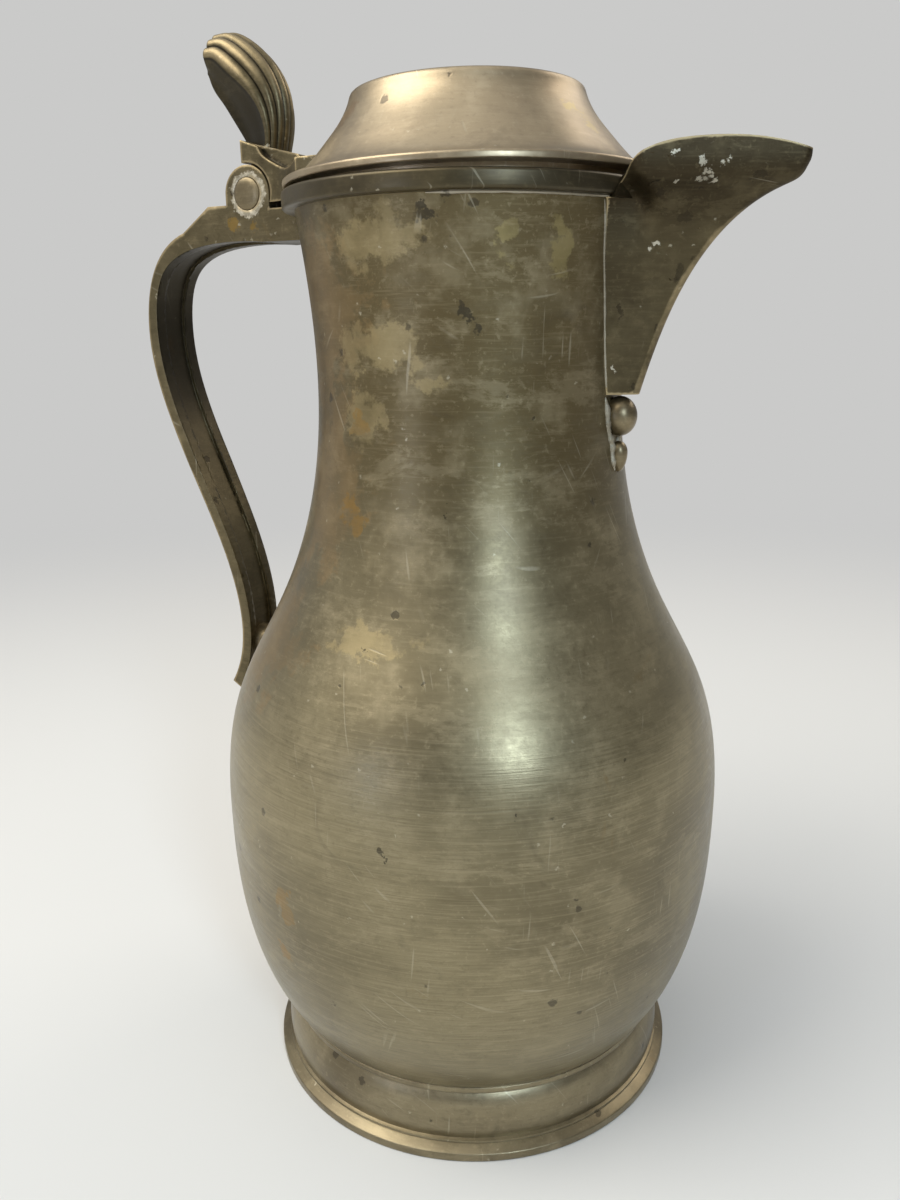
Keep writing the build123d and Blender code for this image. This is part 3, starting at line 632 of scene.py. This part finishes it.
# Body
BELLY = smooth_line([(55.5, BODY_FLOOR), (65.2, 39.0), (GIRTH_RADIUS, GIRTH)], (0.8, 1), (0, 1), 60)
NECK_POINTS = [
    (GIRTH_RADIUS, GIRTH), (66.2, 114.2), (53.2, 140.5), (43.6, 168.0), (40.5, 194.0),
    (LIP_RADIUS, LIP_HEIGHT),
]
NECK = smooth_line(NECK_POINTS, (0, 1), (0.16, 1), 110)


def neck_radius(height):
    """Outside radius of the upper casting at a height."""
    radii, heights = zip(*NECK)
    return float(np.interp(height, heights, radii))


belly_outline = BELLY + [(r - WALL, z) for r, z in reversed(BELLY)]
finished(
    turned("belly", belly_outline, body_pewter, 240, uneven=0.16, seed=2.0),
    "pitcher_body", body_pewter, ["belly_shell"],
)

foot_outline = softened(
    [(57.4, 0, 0.4), (FOOT_RADIUS, 0, 0.5), (FOOT_RADIUS, RIM_HEIGHT, 0.5)]
    + [(57.35, 3.7), (57.55, 4.05), (57.45, 4.5), (56.8, 4.75)]
    + smooth_line([(56.7, 4.8), (57.3, 10.05), (55.0, FOOT_TOP)], (0.35, 1), (-0.75, 1), 22)
    + smooth_line([(52.8, FOOT_TOP), (54.1, 10.05), (57.4, 0.6)], (0.2, -1), (0.5, -1), 14)
)
finished(
    turned("foot", foot_outline, foot_pewter, 240, uneven=0.12, seed=3.0),
    "pitcher_body", foot_pewter, ["foot_ring"],
)
disc_outline = softened([
    (0, FOOT_TOP), (55.7, FOOT_TOP, 0.7), (55.7, BODY_FLOOR, 0.4), (0, BODY_FLOOR),
])
finished(
    turned("floor_disc", disc_outline, foot_pewter, 200),
    "pitcher_body", foot_pewter, ["base_disc"],
)


# Spout
KEEL = smooth_line(
    [(49.4, SPOUT_FOOT), (55.4, 214.4), (65.3, 232.0), (80.0, 243.4), (86.2, 250.0)], (0.3, 1), (0, 1), 60
)
# Rounding of the keel between the cheeks, and half the width of the notch in the band
KEEL_ROUND, NOTCH_HALF = 1.417, 18.0
# The cheeks and what meets them turn inwards over this rise above a height, by up to this angle
DRAW_FOOT, DRAW_RISE, DRAW_ANGLE = 225.0, 16.3, 0.135


def keel_at(height):
    """Where the two cheeks would meet at a height."""
    reach, heights = zip(*KEEL)
    return float(np.interp(height, heights, reach))


def eased(share):
    """A share held between nought and one, starting and ending gently."""
    share = np.clip(share, 0.0, 1.0)
    return share * share * (3 - 2 * share)


def drawn_in(points):
    """Points in millimetres, with the cheeks and what meets them turned inwards just under the rim."""
    p = np.array(points, float)
    turn = np.arctan2(p[:, 1], p[:, 0])
    reach = np.hypot(p[:, 0], p[:, 1])
    # It fades out 7.5 mm beyond the band, on the keel, and from 35 to 70 degrees round the mouth
    share = np.clip((p[:, 2] - DRAW_FOOT) / DRAW_RISE, 0.0, 1.0) ** 2.2
    share *= 1 - eased((reach - BAND_RADIUS) / 7.5)
    share *= eased(np.abs(turn) / 0.26) * (1 - eased((np.abs(turn) - 0.61) / 0.61))
    turn -= np.sign(turn) * share * DRAW_ANGLE
    return np.column_stack((reach * np.cos(turn), reach * np.sin(turn), p[:, 2]))


def draw_in(piece):
    """Turns the points of a piece as drawn_in does."""
    points = drawn_in([v.co / MM for v in piece.data.vertices]) * MM
    piece.data.vertices.foreach_set("co", points.astype(np.float32).ravel())
    piece.data.update()
    return piece


def channel_cutter():
    """The space inside the beak above its floor, as a closed prism with a ridge."""
    wall, floor, rim, back, half_width = 3.4, 208.0, 262.0, 30.0, 28.0
    inner = moved_in(KEEL, wall)
    front = [(x, z) for x, z in inner if z > floor + 0.2]
    front = [(front[0][0] - 0.1, floor)] + front + [(front[-1][0], rim)]
    loop = front + [(back, rim), (back, floor)]
    sides = (-half_width, 0.0, half_width)
    points = [(x - CHEEK_RUN * abs(y), y, z) for y in sides for x, z in loop]
    piece = mesh_piece("channel", points, loft_faces(len(sides), len(loop)))
    closed_up(piece)
    return piece


neck_outline = NECK + [(r - WALL, z) for r, z in reversed(NECK)]
neck = turned("neck", neck_outline, body_pewter, 240, uneven=0.16, seed=4.0)
neck = draw_in(carved(neck, channel_cutter(), "neck"))
closed_up(neck)
finished(neck, "pitcher_body", body_pewter, ["neck_shell"])

band_corners = [
    (BAND_BORE, LIP_HEIGHT, 0.3), (BAND_RADIUS, LIP_HEIGHT, 0.9), (BAND_RADIUS, BAND_TOP, 0.9),
    (BAND_BORE, BAND_TOP, 0.4),
]
band_outline = softened(band_corners, 5)
band_gap = math.degrees(math.asin(NOTCH_HALF / BAND_BORE))
finished(
    draw_in(turned("band", band_outline, band_pewter, 220, gap=band_gap)),
    "pitcher_body", band_pewter, ["mouth_band"],
)


def segments_of(edges):
    """The two ends of every edge as arrays."""
    first = np.array([e.verts[0].co for e in edges], float).reshape(-1, 3)
    last = np.array([e.verts[1].co for e in edges], float).reshape(-1, 3)
    return first, last


def nearness(points, edges, reach):
    """One on the given edges, fading to nothing away from them."""
    first, last = edges
    if not len(first):
        return np.zeros(len(points))
    nearest = np.full(len(points), 1e9)
    for a, b in zip(first, last):
        run = b - a
        share = np.clip((points - a) @ run / max(float(run @ run), 1e-18), 0, 1)
        nearest = np.minimum(nearest, np.linalg.norm(points - (a + share[:, None] * run), axis=1))
    return np.exp(-((nearest / reach) ** 2))


def refined(work, longest):
    """Splits long edges until the mesh is fine enough to carry the wear on its points."""
    bmesh.ops.triangulate(work, faces=work.faces)
    for _ in range(8):
        long_edges = [e for e in work.edges if e.calc_length() > longest]
        if not long_edges:
            break
        bmesh.ops.subdivide_edges(work, edges=long_edges, cuts=1)
        bmesh.ops.triangulate(work, faces=[f for f in work.faces if len(f.verts) > 3])


# How far an edge bends, in radians, before it gets rubbed, or, where it bends inwards, painted shade
SHARP_BEND = 0.5


def rounded_copy(name, node, edge, longest=1.3, melted=None, shade_and_wear=None, rubbed=None):
    """The solid of a node with its sharp edges rounded as on a casting, its wear and painted shade stored.

    melted tells which points lie in a hollow whose borders run out softly, the next function gives the
    painted shade and the wear at a point from its place and normal, and rubbed tells by its faces whether
    an edge gets rubbed.
    """
    piece = new_object(name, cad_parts[node].data.copy())
    work = bmesh.new()
    work.from_mesh(piece.data)
    bmesh.ops.remove_doubles(work, verts=work.verts, dist=1e-5)
    bmesh.ops.dissolve_limit(work, angle_limit=math.radians(0.6), verts=work.verts, edges=work.edges)
    bends = [
        (e, e.calc_face_angle_signed(0.0))
        for e in work.edges
        if len(e.link_faces) == 2 and not (melted and all(melted(v.co) for v in e.verts))
    ]
    outer = segments_of([
        e for e, bend in bends
        if bend > SHARP_BEND and (rubbed is None or rubbed(e.link_faces[0].normal + e.link_faces[1].normal))
    ])
    # Edges that bend inwards get painted shade
    inner = segments_of([e for e, bend in bends if bend < -SHARP_BEND])
    work.to_mesh(piece.data)
    work.free()
    bevel = piece.modifiers.new("soft edges", "BEVEL")
    bevel.limit_method = "ANGLE"
    bevel.angle_limit = math.radians(28)
    bevel.width = edge * MM
    bevel.segments = 3
    bevel.use_clamp_overlap = True
    piece = baked(piece, name)
    work = bmesh.new()
    work.from_mesh(piece.data)
    refined(work, longest * MM)
    if melted:
        soft = [v for v in work.verts if melted(v.co)]
        for _ in range(14):
            bmesh.ops.smooth_vert(
                work, verts=soft, factor=0.5, use_axis_x=True, use_axis_y=False, use_axis_z=True
            )
    work.to_mesh(piece.data)
    work.free()
    closed_up(piece)
    points = np.array([v.co for v in piece.data.vertices], float)
    worn = nearness(points, outer, 0.5 * MM)
    shade_here = nearness(points, inner, 0.8 * MM)
    if shade_and_wear:
        changes = [shade_and_wear(v.co, v.normal) for v in piece.data.vertices]
        shade_here = np.array([old if new is None else new for (new, _), old in zip(changes, shade_here)])
        worn = np.array([max(new, old) for (_, new), old in zip(changes, worn)])
    store(piece, wear=worn, sunk=shade_here)
    return piece


def spout_shade_and_keel(place, normal):
    """No painted shade along the thin spout's edges, and its rounded keel a little brighter where it faces
    forward.
    """
    keel = min(1.0, max(0.0, (normal.x - 0.42) / 0.2)) * (1.0 if place.z < 244 * MM else 0.0)
    return 0.0, 0.5 * keel


def strap_hollow(place):
    """The middle of the strap and of the arm's underside, inside their edges."""
    width = float(np.interp(place.z, (94.6 * MM, 172 * MM), (5.3 * MM, 6.9 * MM)))
    return abs(place.y) < width and place.z < 238 * MM and place.x < -48 * MM


def strap_shade(place, normal):
    """Painted shade on the strap's inner face, which faces the body, darker towards the top, and a little
    on its sides.
    """
    if place.z > 239 * MM:
        return None, 0.0
    if abs(normal.y) > 0.75:
        return 0.24, 0.0
    inwards = 0.8 * normal.x - 0.6 * normal.z
    deep = float(np.interp(place.z, (170 * MM, 206 * MM), (0.42, 1.1)))
    return max(0.0, min(1.0, 1.6 * inwards)) * deep, 0.0


def outer_side(normal):
    """Edges on the handle's outside, which hands rub, and not those around its hollow."""
    return 0.8 * normal.x - 0.6 * normal.z < 0.2


beak = draw_in(rounded_copy("beak", "spout", 0.45, shade_and_wear=spout_shade_and_keel))
finished(beak, "pitcher_body", spout_pewter, ["spout"])


def cheek_root(name, side):
    """The foot of a cheek, which laps over the end of the band."""
    # Its outline, in degrees round the band and heights
    outline = [(21.2, 241.2), (20.0, 243.0), (18.6, 244.6), (17.0, 246.0), (11.0, 246.0), (11.0, 241.2)]
    edge = []
    for (a, za), (b, zb) in zip(outline, outline[1:] + outline[:1]):
        edge += [(a + (b - a) * t, za + (zb - za) * t) for t in np.linspace(0, 1, 6, endpoint=False)]
    edge = [(math.radians(a), z) for a, z in edge]
    points = [(r * math.cos(a), side * r * math.sin(a), z) for r in (46.4, 48.15) for a, z in edge]
    piece = mesh_piece(name, points, loft_faces(2, len(edge)))
    work = bmesh.new()
    work.from_mesh(piece.data)
    refined(work, 1.2 * MM)
    work.to_mesh(piece.data)
    work.free()
    closed_up(piece)
    return piece


for side, word in ((-1, "near"), (1, "far")):
    finished(cheek_root("cheek_root_" + word, side), "pitcher_body", spout_pewter)


def bead_outline(low, high, middle, radius):
    """Half of an egg-shaped bead between two heights."""
    quarter = np.linspace(0, math.pi / 2, 14)
    lower = [(radius * math.sin(a), middle - (middle - low) * math.cos(a)) for a in quarter]
    upper = [(radius * math.cos(a), middle + (high - middle) * math.sin(a)) for a in quarter]
    return lower + upper[1:]


# Beads: height, how far they reach above and below it, their widest place, radius and stand-off
for name, height, above, below, middle, radius, stand_off in (
    ("ball", 191.2, 5.0, 5.0, 0.0, 4.35, 1.6),
    ("drop", 181.6, 3.4, 4.5, 0.5, 2.3, 0.8),
):
    outline = bead_outline(height - below, height + above, height + middle, radius)
    place = Matrix.Translation(((neck_radius(height) + stand_off) * MM, 0, 0))
    bead = turned(name, outline, bead_metal, 64, turn=place)
    finished(bead, "pitcher_body", bead_metal, ["spout_" + name])


# Handle and hinge
strap = rounded_copy("strap", "handle", 0.7, 1.5, strap_hollow, strap_shade, outer_side)
finished(strap, "pitcher_body", handle_metal, ["handle"])

strut_outline = [(0, -76.0), (4.9, -76.0), (4.9, -75.0), (4.9, -64.2), (4.4, -63.0), (0, -63.0)]
STRUT_HEIGHT = 116.5
along_x = Matrix.Translation((0, 0, STRUT_HEIGHT * MM)) @ Matrix.Rotation(math.radians(90), 4, "Y")
finished(
    turned("strut", strut_outline, bead_metal, 64, turn=along_x),
    "pitcher_body", bead_metal, ["handle_strut"],
)

pin_outline = [(0, -8.6), (2.4, -8.55), (3.6, -8.4), (4.15, -8.15), (PIN_RADIUS, -7.6)]
pin_outline += [(r, -z) for r, z in reversed(pin_outline)]
across_y = Matrix.Translation(PIN * MM) @ Matrix.Rotation(math.radians(90), 4, "X")
pin = turned("pin", pin_outline, bead_metal, 72, turn=across_y)
finished(pin, "pitcher_body", bead_metal, ["hinge_pin"])


# Lid
TOP_RADIUS, TOP_RISE = 27.9, 1.2
sphere = (TOP_RADIUS**2 + TOP_RISE**2) / (2 * TOP_RISE)
crown = [
    (r, LID_TOP + TOP_RISE - sphere + math.sqrt(sphere**2 - r**2))
    for r in np.linspace(TOP_RADIUS, 0.0, 14)
]
lid_outline = (
    [(40.2, LID_BASE), (46.9, LID_BASE), (47.15, 246.7)]
    + [(47.2, 247.6), (47.1, 248.0), (46.75, 248.28), (46.2, 248.42), (45.8, 248.45), (44.6, 248.65)]
    + smooth_line(
        [(44.6, 248.65), (40.3, 251.9), (36.4, 256.3), (32.6, 261.0), (29.5, 267.3)],
        (-1, 0.42), (-0.28, 1), 40,
    )[1:]
    + [(29.25, 267.8), (28.9, 268.1), (28.45, 268.27)]
    + crown
    + [(0, 266.5), (26.5, 266.5), (27.5, 265.9)]
    + smooth_line(
        [(27.5, 265.9), (30.35, 258.9), (34.15, 254.1), (40.2, 248.1)], (0.28, -1), (1, -0.8), 20
    )[1:]
)
bell = turned("bell", lid_outline, lid_metal, 240, turn=LID_TURN)
finished(bell, "lid", lid_metal, ["lid_cover"])
bezel_outline = softened([(40.2, 242.1, 0.3), (41.7, 242.1, 0.4), (41.7, 246.6), (40.2, 246.6)])
bezel = turned("bezel", bezel_outline, lid_metal, 220, turn=LID_TURN)
finished(bezel, "lid", lid_metal, ["lid_bezel"])
finished(rounded_copy("tongue", "lid_arm", 0.4), "lid", handle_metal, ["lid_arm"])

# Each station of the shell: front and back points in the middle plane, half width, sag and keel
SHELL = [
    (-57.4, 256.4, -64.2, 258.4, 5.2, 3.2, 3.2),
    (-55.0, 266.6, -68.6, 265.4, 5.8, 3.8, 2.6),
    (-55.4, 275.0, -71.6, 270.2, 6.6, 5.8, 2.6),
    (-59.8, 283.4, -73.8, 274.2, 7.3, 9.0, 3.0),
    (-66.0, 288.8, -75.4, 277.0, 7.6, 10.6, 3.8),
    (-71.6, 291.2, -76.6, 279.4, 7.4, 9.8, 4.6),
    (-75.4, 291.2, -77.4, 281.4, 6.8, 8.0, 4.6),
]
RIBS = 7
RIB_STEPS = 12
STATIONS = 84
SPREAD = math.radians(80)
# How the last rows close the shell's rim: their size, and how far they stand out in millimetres
RIM_ROWS = ((0.97, 0.35), (0.88, 0.62), (0.70, 0.80), (0.40, 0.9))


def shell_piece():
    """Scallop shell whose seven rounded ribs fan over its front and end as lobes on its rim."""
    first, last = np.subtract(SHELL[1], SHELL[0])[:4], np.subtract(SHELL[6], SHELL[5])[:4]
    stations = smooth_line([s[:4] for s in SHELL], first, last, STATIONS)
    sizes = [(i * 6.0,) + s[4:] for i, s in enumerate(SHELL)]
    shapes = smooth_line(sizes, (6, 0.6, 0.6, -0.6), (6, -0.6, -1.8, 0.0), STATIONS)
    rows = [(station, shape, 1.0, 0.0) for station, shape in zip(stations, shapes)]
    rows += [(stations[-1], shapes[-1], shrink, push) for shrink, push in RIM_ROWS]
    points, wear, sunk = [], [], []
    for number, ((fx, fz, bx, bz), (_, half, sag, keel), shrink, push) in enumerate(rows):
        back = np.array([bx, 0.0, bz])
        forward = np.array([fx, 0.0, fz]) - back
        depth = float(np.linalg.norm(forward))
        forward /= depth
        share = number / (STATIONS - 1)
        ridge = 0.75 * min(1.0, 0.25 + 1.6 * share)
        ring, crest = [], []
        for i in range(RIBS * RIB_STEPS + 1):
            angle = -SPREAD + 2 * SPREAD * i / (RIBS * RIB_STEPS)
            across_rib = 2 * ((i % RIB_STEPS) / RIB_STEPS) - 1
            bulge = ridge * (1 - across_rib**2)
            out = depth - sag * (1 - math.cos(angle)) + bulge * math.cos(angle)
            ring.append(((half + bulge) * math.sin(angle), out))
            crest.append(bulge / ridge)
        wing, wing_v = half * math.sin(SPREAD), depth - sag * (1 - math.cos(SPREAD))
        heel_v = min(0.0, wing_v - 1.0)
        waist, middle_v = 0.42 * wing + 0.58 * keel, (wing_v + heel_v) / 2
        side_points = [(wing, wing_v), (waist, middle_v), (keel, heel_v)]
        side_run = smooth_line(side_points, (-0.6, -1), (0.1, -1), 12)[1:]
        half_turn = np.linspace(0, math.pi, 12)[1:-1]
        heel = [(keel * math.cos(a), heel_v - 0.3 * keel * math.sin(a)) for a in half_turn]
        ring += side_run + heel + [(-u, v) for u, v in reversed(side_run)]
        crest += [0.25] * (2 * len(side_run) + len(heel))
        middle = np.mean(np.array(ring), axis=0)
        normal = np.array([-forward[2], 0.0, forward[0]])
        for u, v in ring:
            u, v = middle + (np.array([u, v]) - middle) * shrink
            spot = back + forward * v + np.array([0.0, u, 0.0]) + normal * push
            points.append(tuple(spot))
        # Rib crests store wear; the grooves between the ribs and the hollow back store painted shade
        wear += [c * min(1.0, 0.1 + share) for c in crest]
        back_sunk = 0.9 - 0.35 * share
        sunk += [(1 - c) ** 3 if j <= RIBS * RIB_STEPS else back_sunk for j, c in enumerate(crest)]
    piece = mesh_piece("shell", points, loft_faces(len(rows), len(points) // len(rows)))
    store(piece, wear=wear, sunk=sunk)
    closed_up(piece, LID_TURN)
    return piece


finished(shell_piece(), "lid", handle_metal, ["thumbpiece"], crease=60)


# Solder
def solder_run(name, path, radius, seed):
    """An uneven thread of solder along a path, closed at its ends."""
    chance = np.random.default_rng(seed)
    setting_out, coming_in = np.subtract(path[1], path[0]), np.subtract(path[-1], path[-2])
    p = np.array(smooth_line(path, setting_out, coming_in, 10 * len(path)))
    along = np.gradient(p, axis=0)
    along /= np.linalg.norm(along, axis=1, keepdims=True)
    turns = np.linspace(0, 2 * math.pi, 8, endpoint=False)
    swell = np.convolve(chance.uniform(0.55, 1.45, len(p) + 4), np.ones(5) / 5, "valid")
    points = []
    for i, (middle, direction) in enumerate(zip(p, along)):
        first = np.cross(direction, (0.31, 0.52, 0.79))
        first /= np.linalg.norm(first)
        second = np.cross(direction, first)
        size = radius * swell[i] * min(1.0, 0.3 + 0.07 * min(i, len(p) - 1 - i))
        points += [middle + size * (math.cos(a) * first + math.sin(a) * second) for a in turns]
    piece = mesh_piece(name, points, loft_faces(len(p), len(turns)))
    closed_up(piece)
    finished(piece, "pitcher_body", solder_metal, crease=180)


def seam_point(height, side):
    """Where a cheek of the spout meets the neck or the band at a height."""
    radius = neck_radius(height) if height < LIP_HEIGHT else BAND_RADIUS
    low, high = 0.0, radius - 1.0
    for _ in range(40):
        y = (low + high) / 2
        if keel_at(height) - CHEEK_RUN * math.hypot(y, KEEL_ROUND) > math.sqrt(radius**2 - y**2):
            low = y
        else:
            high = y
    return (math.sqrt(radius**2 - low**2), side * low, height)


SEAM_FOOT, SEAM_TOP = 197.2, 241.2
# Radii of the thread under the band, from the cheek onwards
UNDER_BAND = (46.4, 46.0, 45.4, 45.0, 44.95, 44.9, 44.9, 44.9, 44.9, 44.85, 44.6)
# Heights of the thread behind the beads, each with how far it is from the middle plane
BEAD_SMEAR = (
    (196.2, 5.4), (193.5, 4.7), (190.0, 4.3), (186.5, 3.4), (184.0, 2.4), (180.5, 2.3), (177.5, 1.3),
)
for side, word in ((-1, "near"), (1, "far")):
    heights = np.linspace(SEAM_FOOT, SEAM_TOP, 12)
    seam = drawn_in([seam_point(h, side) for h in heights])
    solder_run("seam_" + word, seam, 0.34, 11 + side)
    start = drawn_in([seam_point(SEAM_TOP, side)])[0]
    first = math.atan2(start[1], start[0])
    angles = first + side * np.radians((-1, 1, 3, 6, 10, 18, 26, 34, 42, 50, 56))
    under = [(r * math.cos(a), r * math.sin(a), LIP_HEIGHT - 0.2) for a, r in zip(angles, UNDER_BAND)]
    solder_run("under_band_" + word, under, 0.42, 21 + side)
    smear = [(math.sqrt(neck_radius(z) ** 2 - y**2) - 0.25, side * y, z) for z, y in BEAD_SMEAR]
    solder_run("bead_smear_" + word, smear, 1.05, 31 + side)


# Floor, light and camera
ROOM = shade("cacac9")


def table_top():
    """A large pale round table that fades into the room with distance."""
    mesh = bpy.data.meshes.new("table")
    count, radius = 96, 4.0
    angles = [2 * math.pi * i / count for i in range(count)]
    ring = [(radius * math.cos(a), radius * math.sin(a), 0) for a in angles]
    mesh.from_pydata(ring, [], [tuple(range(count))])
    top = new_object("table", mesh)
    material = bpy.data.materials.new("pale_table")
    tree = blank_tree(material)
    place = add(tree, "ShaderNodeTexCoord", output="Object")
    away = add(tree, VECTOR, (place,), "Value", operation="LENGTH")
    far = add(tree, RANGE, (away, 0.22, 0.9), **SMOOTH)
    seen = add(tree, "ShaderNodeLightPath", output="Is Camera Ray")
    share = add(tree, MATH, (far, seen), operation="MULTIPLY")
    paint = add(tree, "ShaderNodeBsdfPrincipled", {"Base Color": shade("dcdcda"), "Roughness": 0.9})
    glow = add(tree, "ShaderNodeEmission", {"Color": ROOM, "Strength": 1.0})
    both = add(tree, "ShaderNodeMixShader", (share, paint, glow))
    add(tree, "ShaderNodeOutputMaterial", {"Surface": both})
    mesh.materials.append(material)


def room():
    """A plain pale room, dimmer where the metal mirrors the side that the camera is on."""
    world = bpy.data.worlds.new("room")
    bpy.context.scene.world = world
    tree = blank_tree(world)
    look = add(tree, "ShaderNodeTexCoord", output="Generated")
    level = 0.58
    # Darker on the camera's side and to its right, brighter to its left and most of all overhead
    for side, low, high, change in (
        ((0.44, -0.90, 0.0), 0.2, 0.9, -0.26),
        ((0.90, 0.44, 0.0), 0.2, 0.9, -0.18),
        ((-0.90, -0.44, 0.0), 0.2, 0.9, 0.34),
        ((-0.20, -0.34, 0.92), 0.55, 0.92, 1.1),
        ((-0.71, 0.70, 0.0), 0.70, 0.97, -0.45),
    ):
        facing = add(tree, VECTOR, (look, side), "Value", operation="DOT_PRODUCT")
        added = add(tree, RANGE, (facing, low, high, 0.0, change), **SMOOTH)
        level = add(tree, MATH, (added, level), operation="ADD")
    seen = add(tree, "ShaderNodeLightPath", output="Is Camera Ray")
    full = (1.0, 1.0, 1.0, 1.0)
    strength = add(tree, MIX, {0: seen, 6: level, 7: full}, 2, data_type="RGBA")
    back = add(tree, "ShaderNodeBackground", {"Color": ROOM, "Strength": strength})
    add(tree, "ShaderNodeOutputWorld", {"Surface": back})


def soft_light(name, azimuth, elevation, away, width, tall, power, colour):
    """A rectangular soft light that faces the flagon."""
    data = bpy.data.lights.new(name, "AREA")
    data.shape = "RECTANGLE"
    data.size, data.size_y = width, tall
    data.energy = power
    data.color = shade(colour)[:3]
    light = new_object(name, data)
    a, e = math.radians(azimuth), math.radians(elevation)
    middle = Vector((0, 0, 0.14))
    direction = Vector((math.cos(a) * math.cos(e), math.sin(a) * math.cos(e), math.sin(e)))
    light.location = middle + away * direction
    light.rotation_euler = (middle - light.location).to_track_quat("-Z", "Y").to_euler()


table_top()
room()
# Lights: azimuth and elevation in degrees, distance, width and height in metres, power, colour
# A tall window to the right of the camera draws the bright upright streak on neck and belly
soft_light("window", -44, 23, 1.1, 0.17, 0.36, 4.4, "cfe6fb")
# A broad soft light from the upper left fills the rest
soft_light("sky", -135, 50, 1.4, 1.1, 0.8, 13, "fbf6ec")
# A faint light from behind and the right keeps the far edges readable
soft_light("back", 60, 40, 1.4, 0.8, 0.6, 4, "fff6ea")
# A small low window on the left leaves the faint bluish streak on the neck
soft_light("left_window", -107, 6, 1.1, 0.10, 0.22, 0.75, "c8d6f8")


def photo_camera():
    """The camera at the photograph's place: 26 degrees round from the side, at the neck's height."""
    data = bpy.data.cameras.new("camera")
    data.lens = 30.0
    data.sensor_width = 36.0
    data.sensor_fit = "AUTO"
    data.clip_start = 0.01
    camera = new_object("camera", data)
    round_by, away, height = math.radians(26.0), 0.27491, 0.21499
    pitch, roll, yaw = (math.radians(v) for v in (15.652, -0.58, -1.217))
    forward = Vector((math.sin(yaw) * math.cos(pitch), math.cos(yaw) * math.cos(pitch), -math.sin(pitch)))
    right = Vector((math.cos(yaw), -math.sin(yaw), 0.0))
    up = right.cross(forward)
    rolled_right = math.cos(roll) * right + math.sin(roll) * up
    rolled_up = -math.sin(roll) * right + math.cos(roll) * up
    turn = Matrix.Rotation(round_by, 4, "Z")
    axes = Matrix((rolled_right, rolled_up, -forward)).transposed().to_4x4()
    place = Vector((away * math.sin(round_by), -away * math.cos(round_by), height))
    camera.matrix_world = Matrix.Translation(place) @ turn @ axes
    bpy.context.scene.camera = camera


photo_camera()
bpy.context.scene.view_settings.view_transform = "Standard"
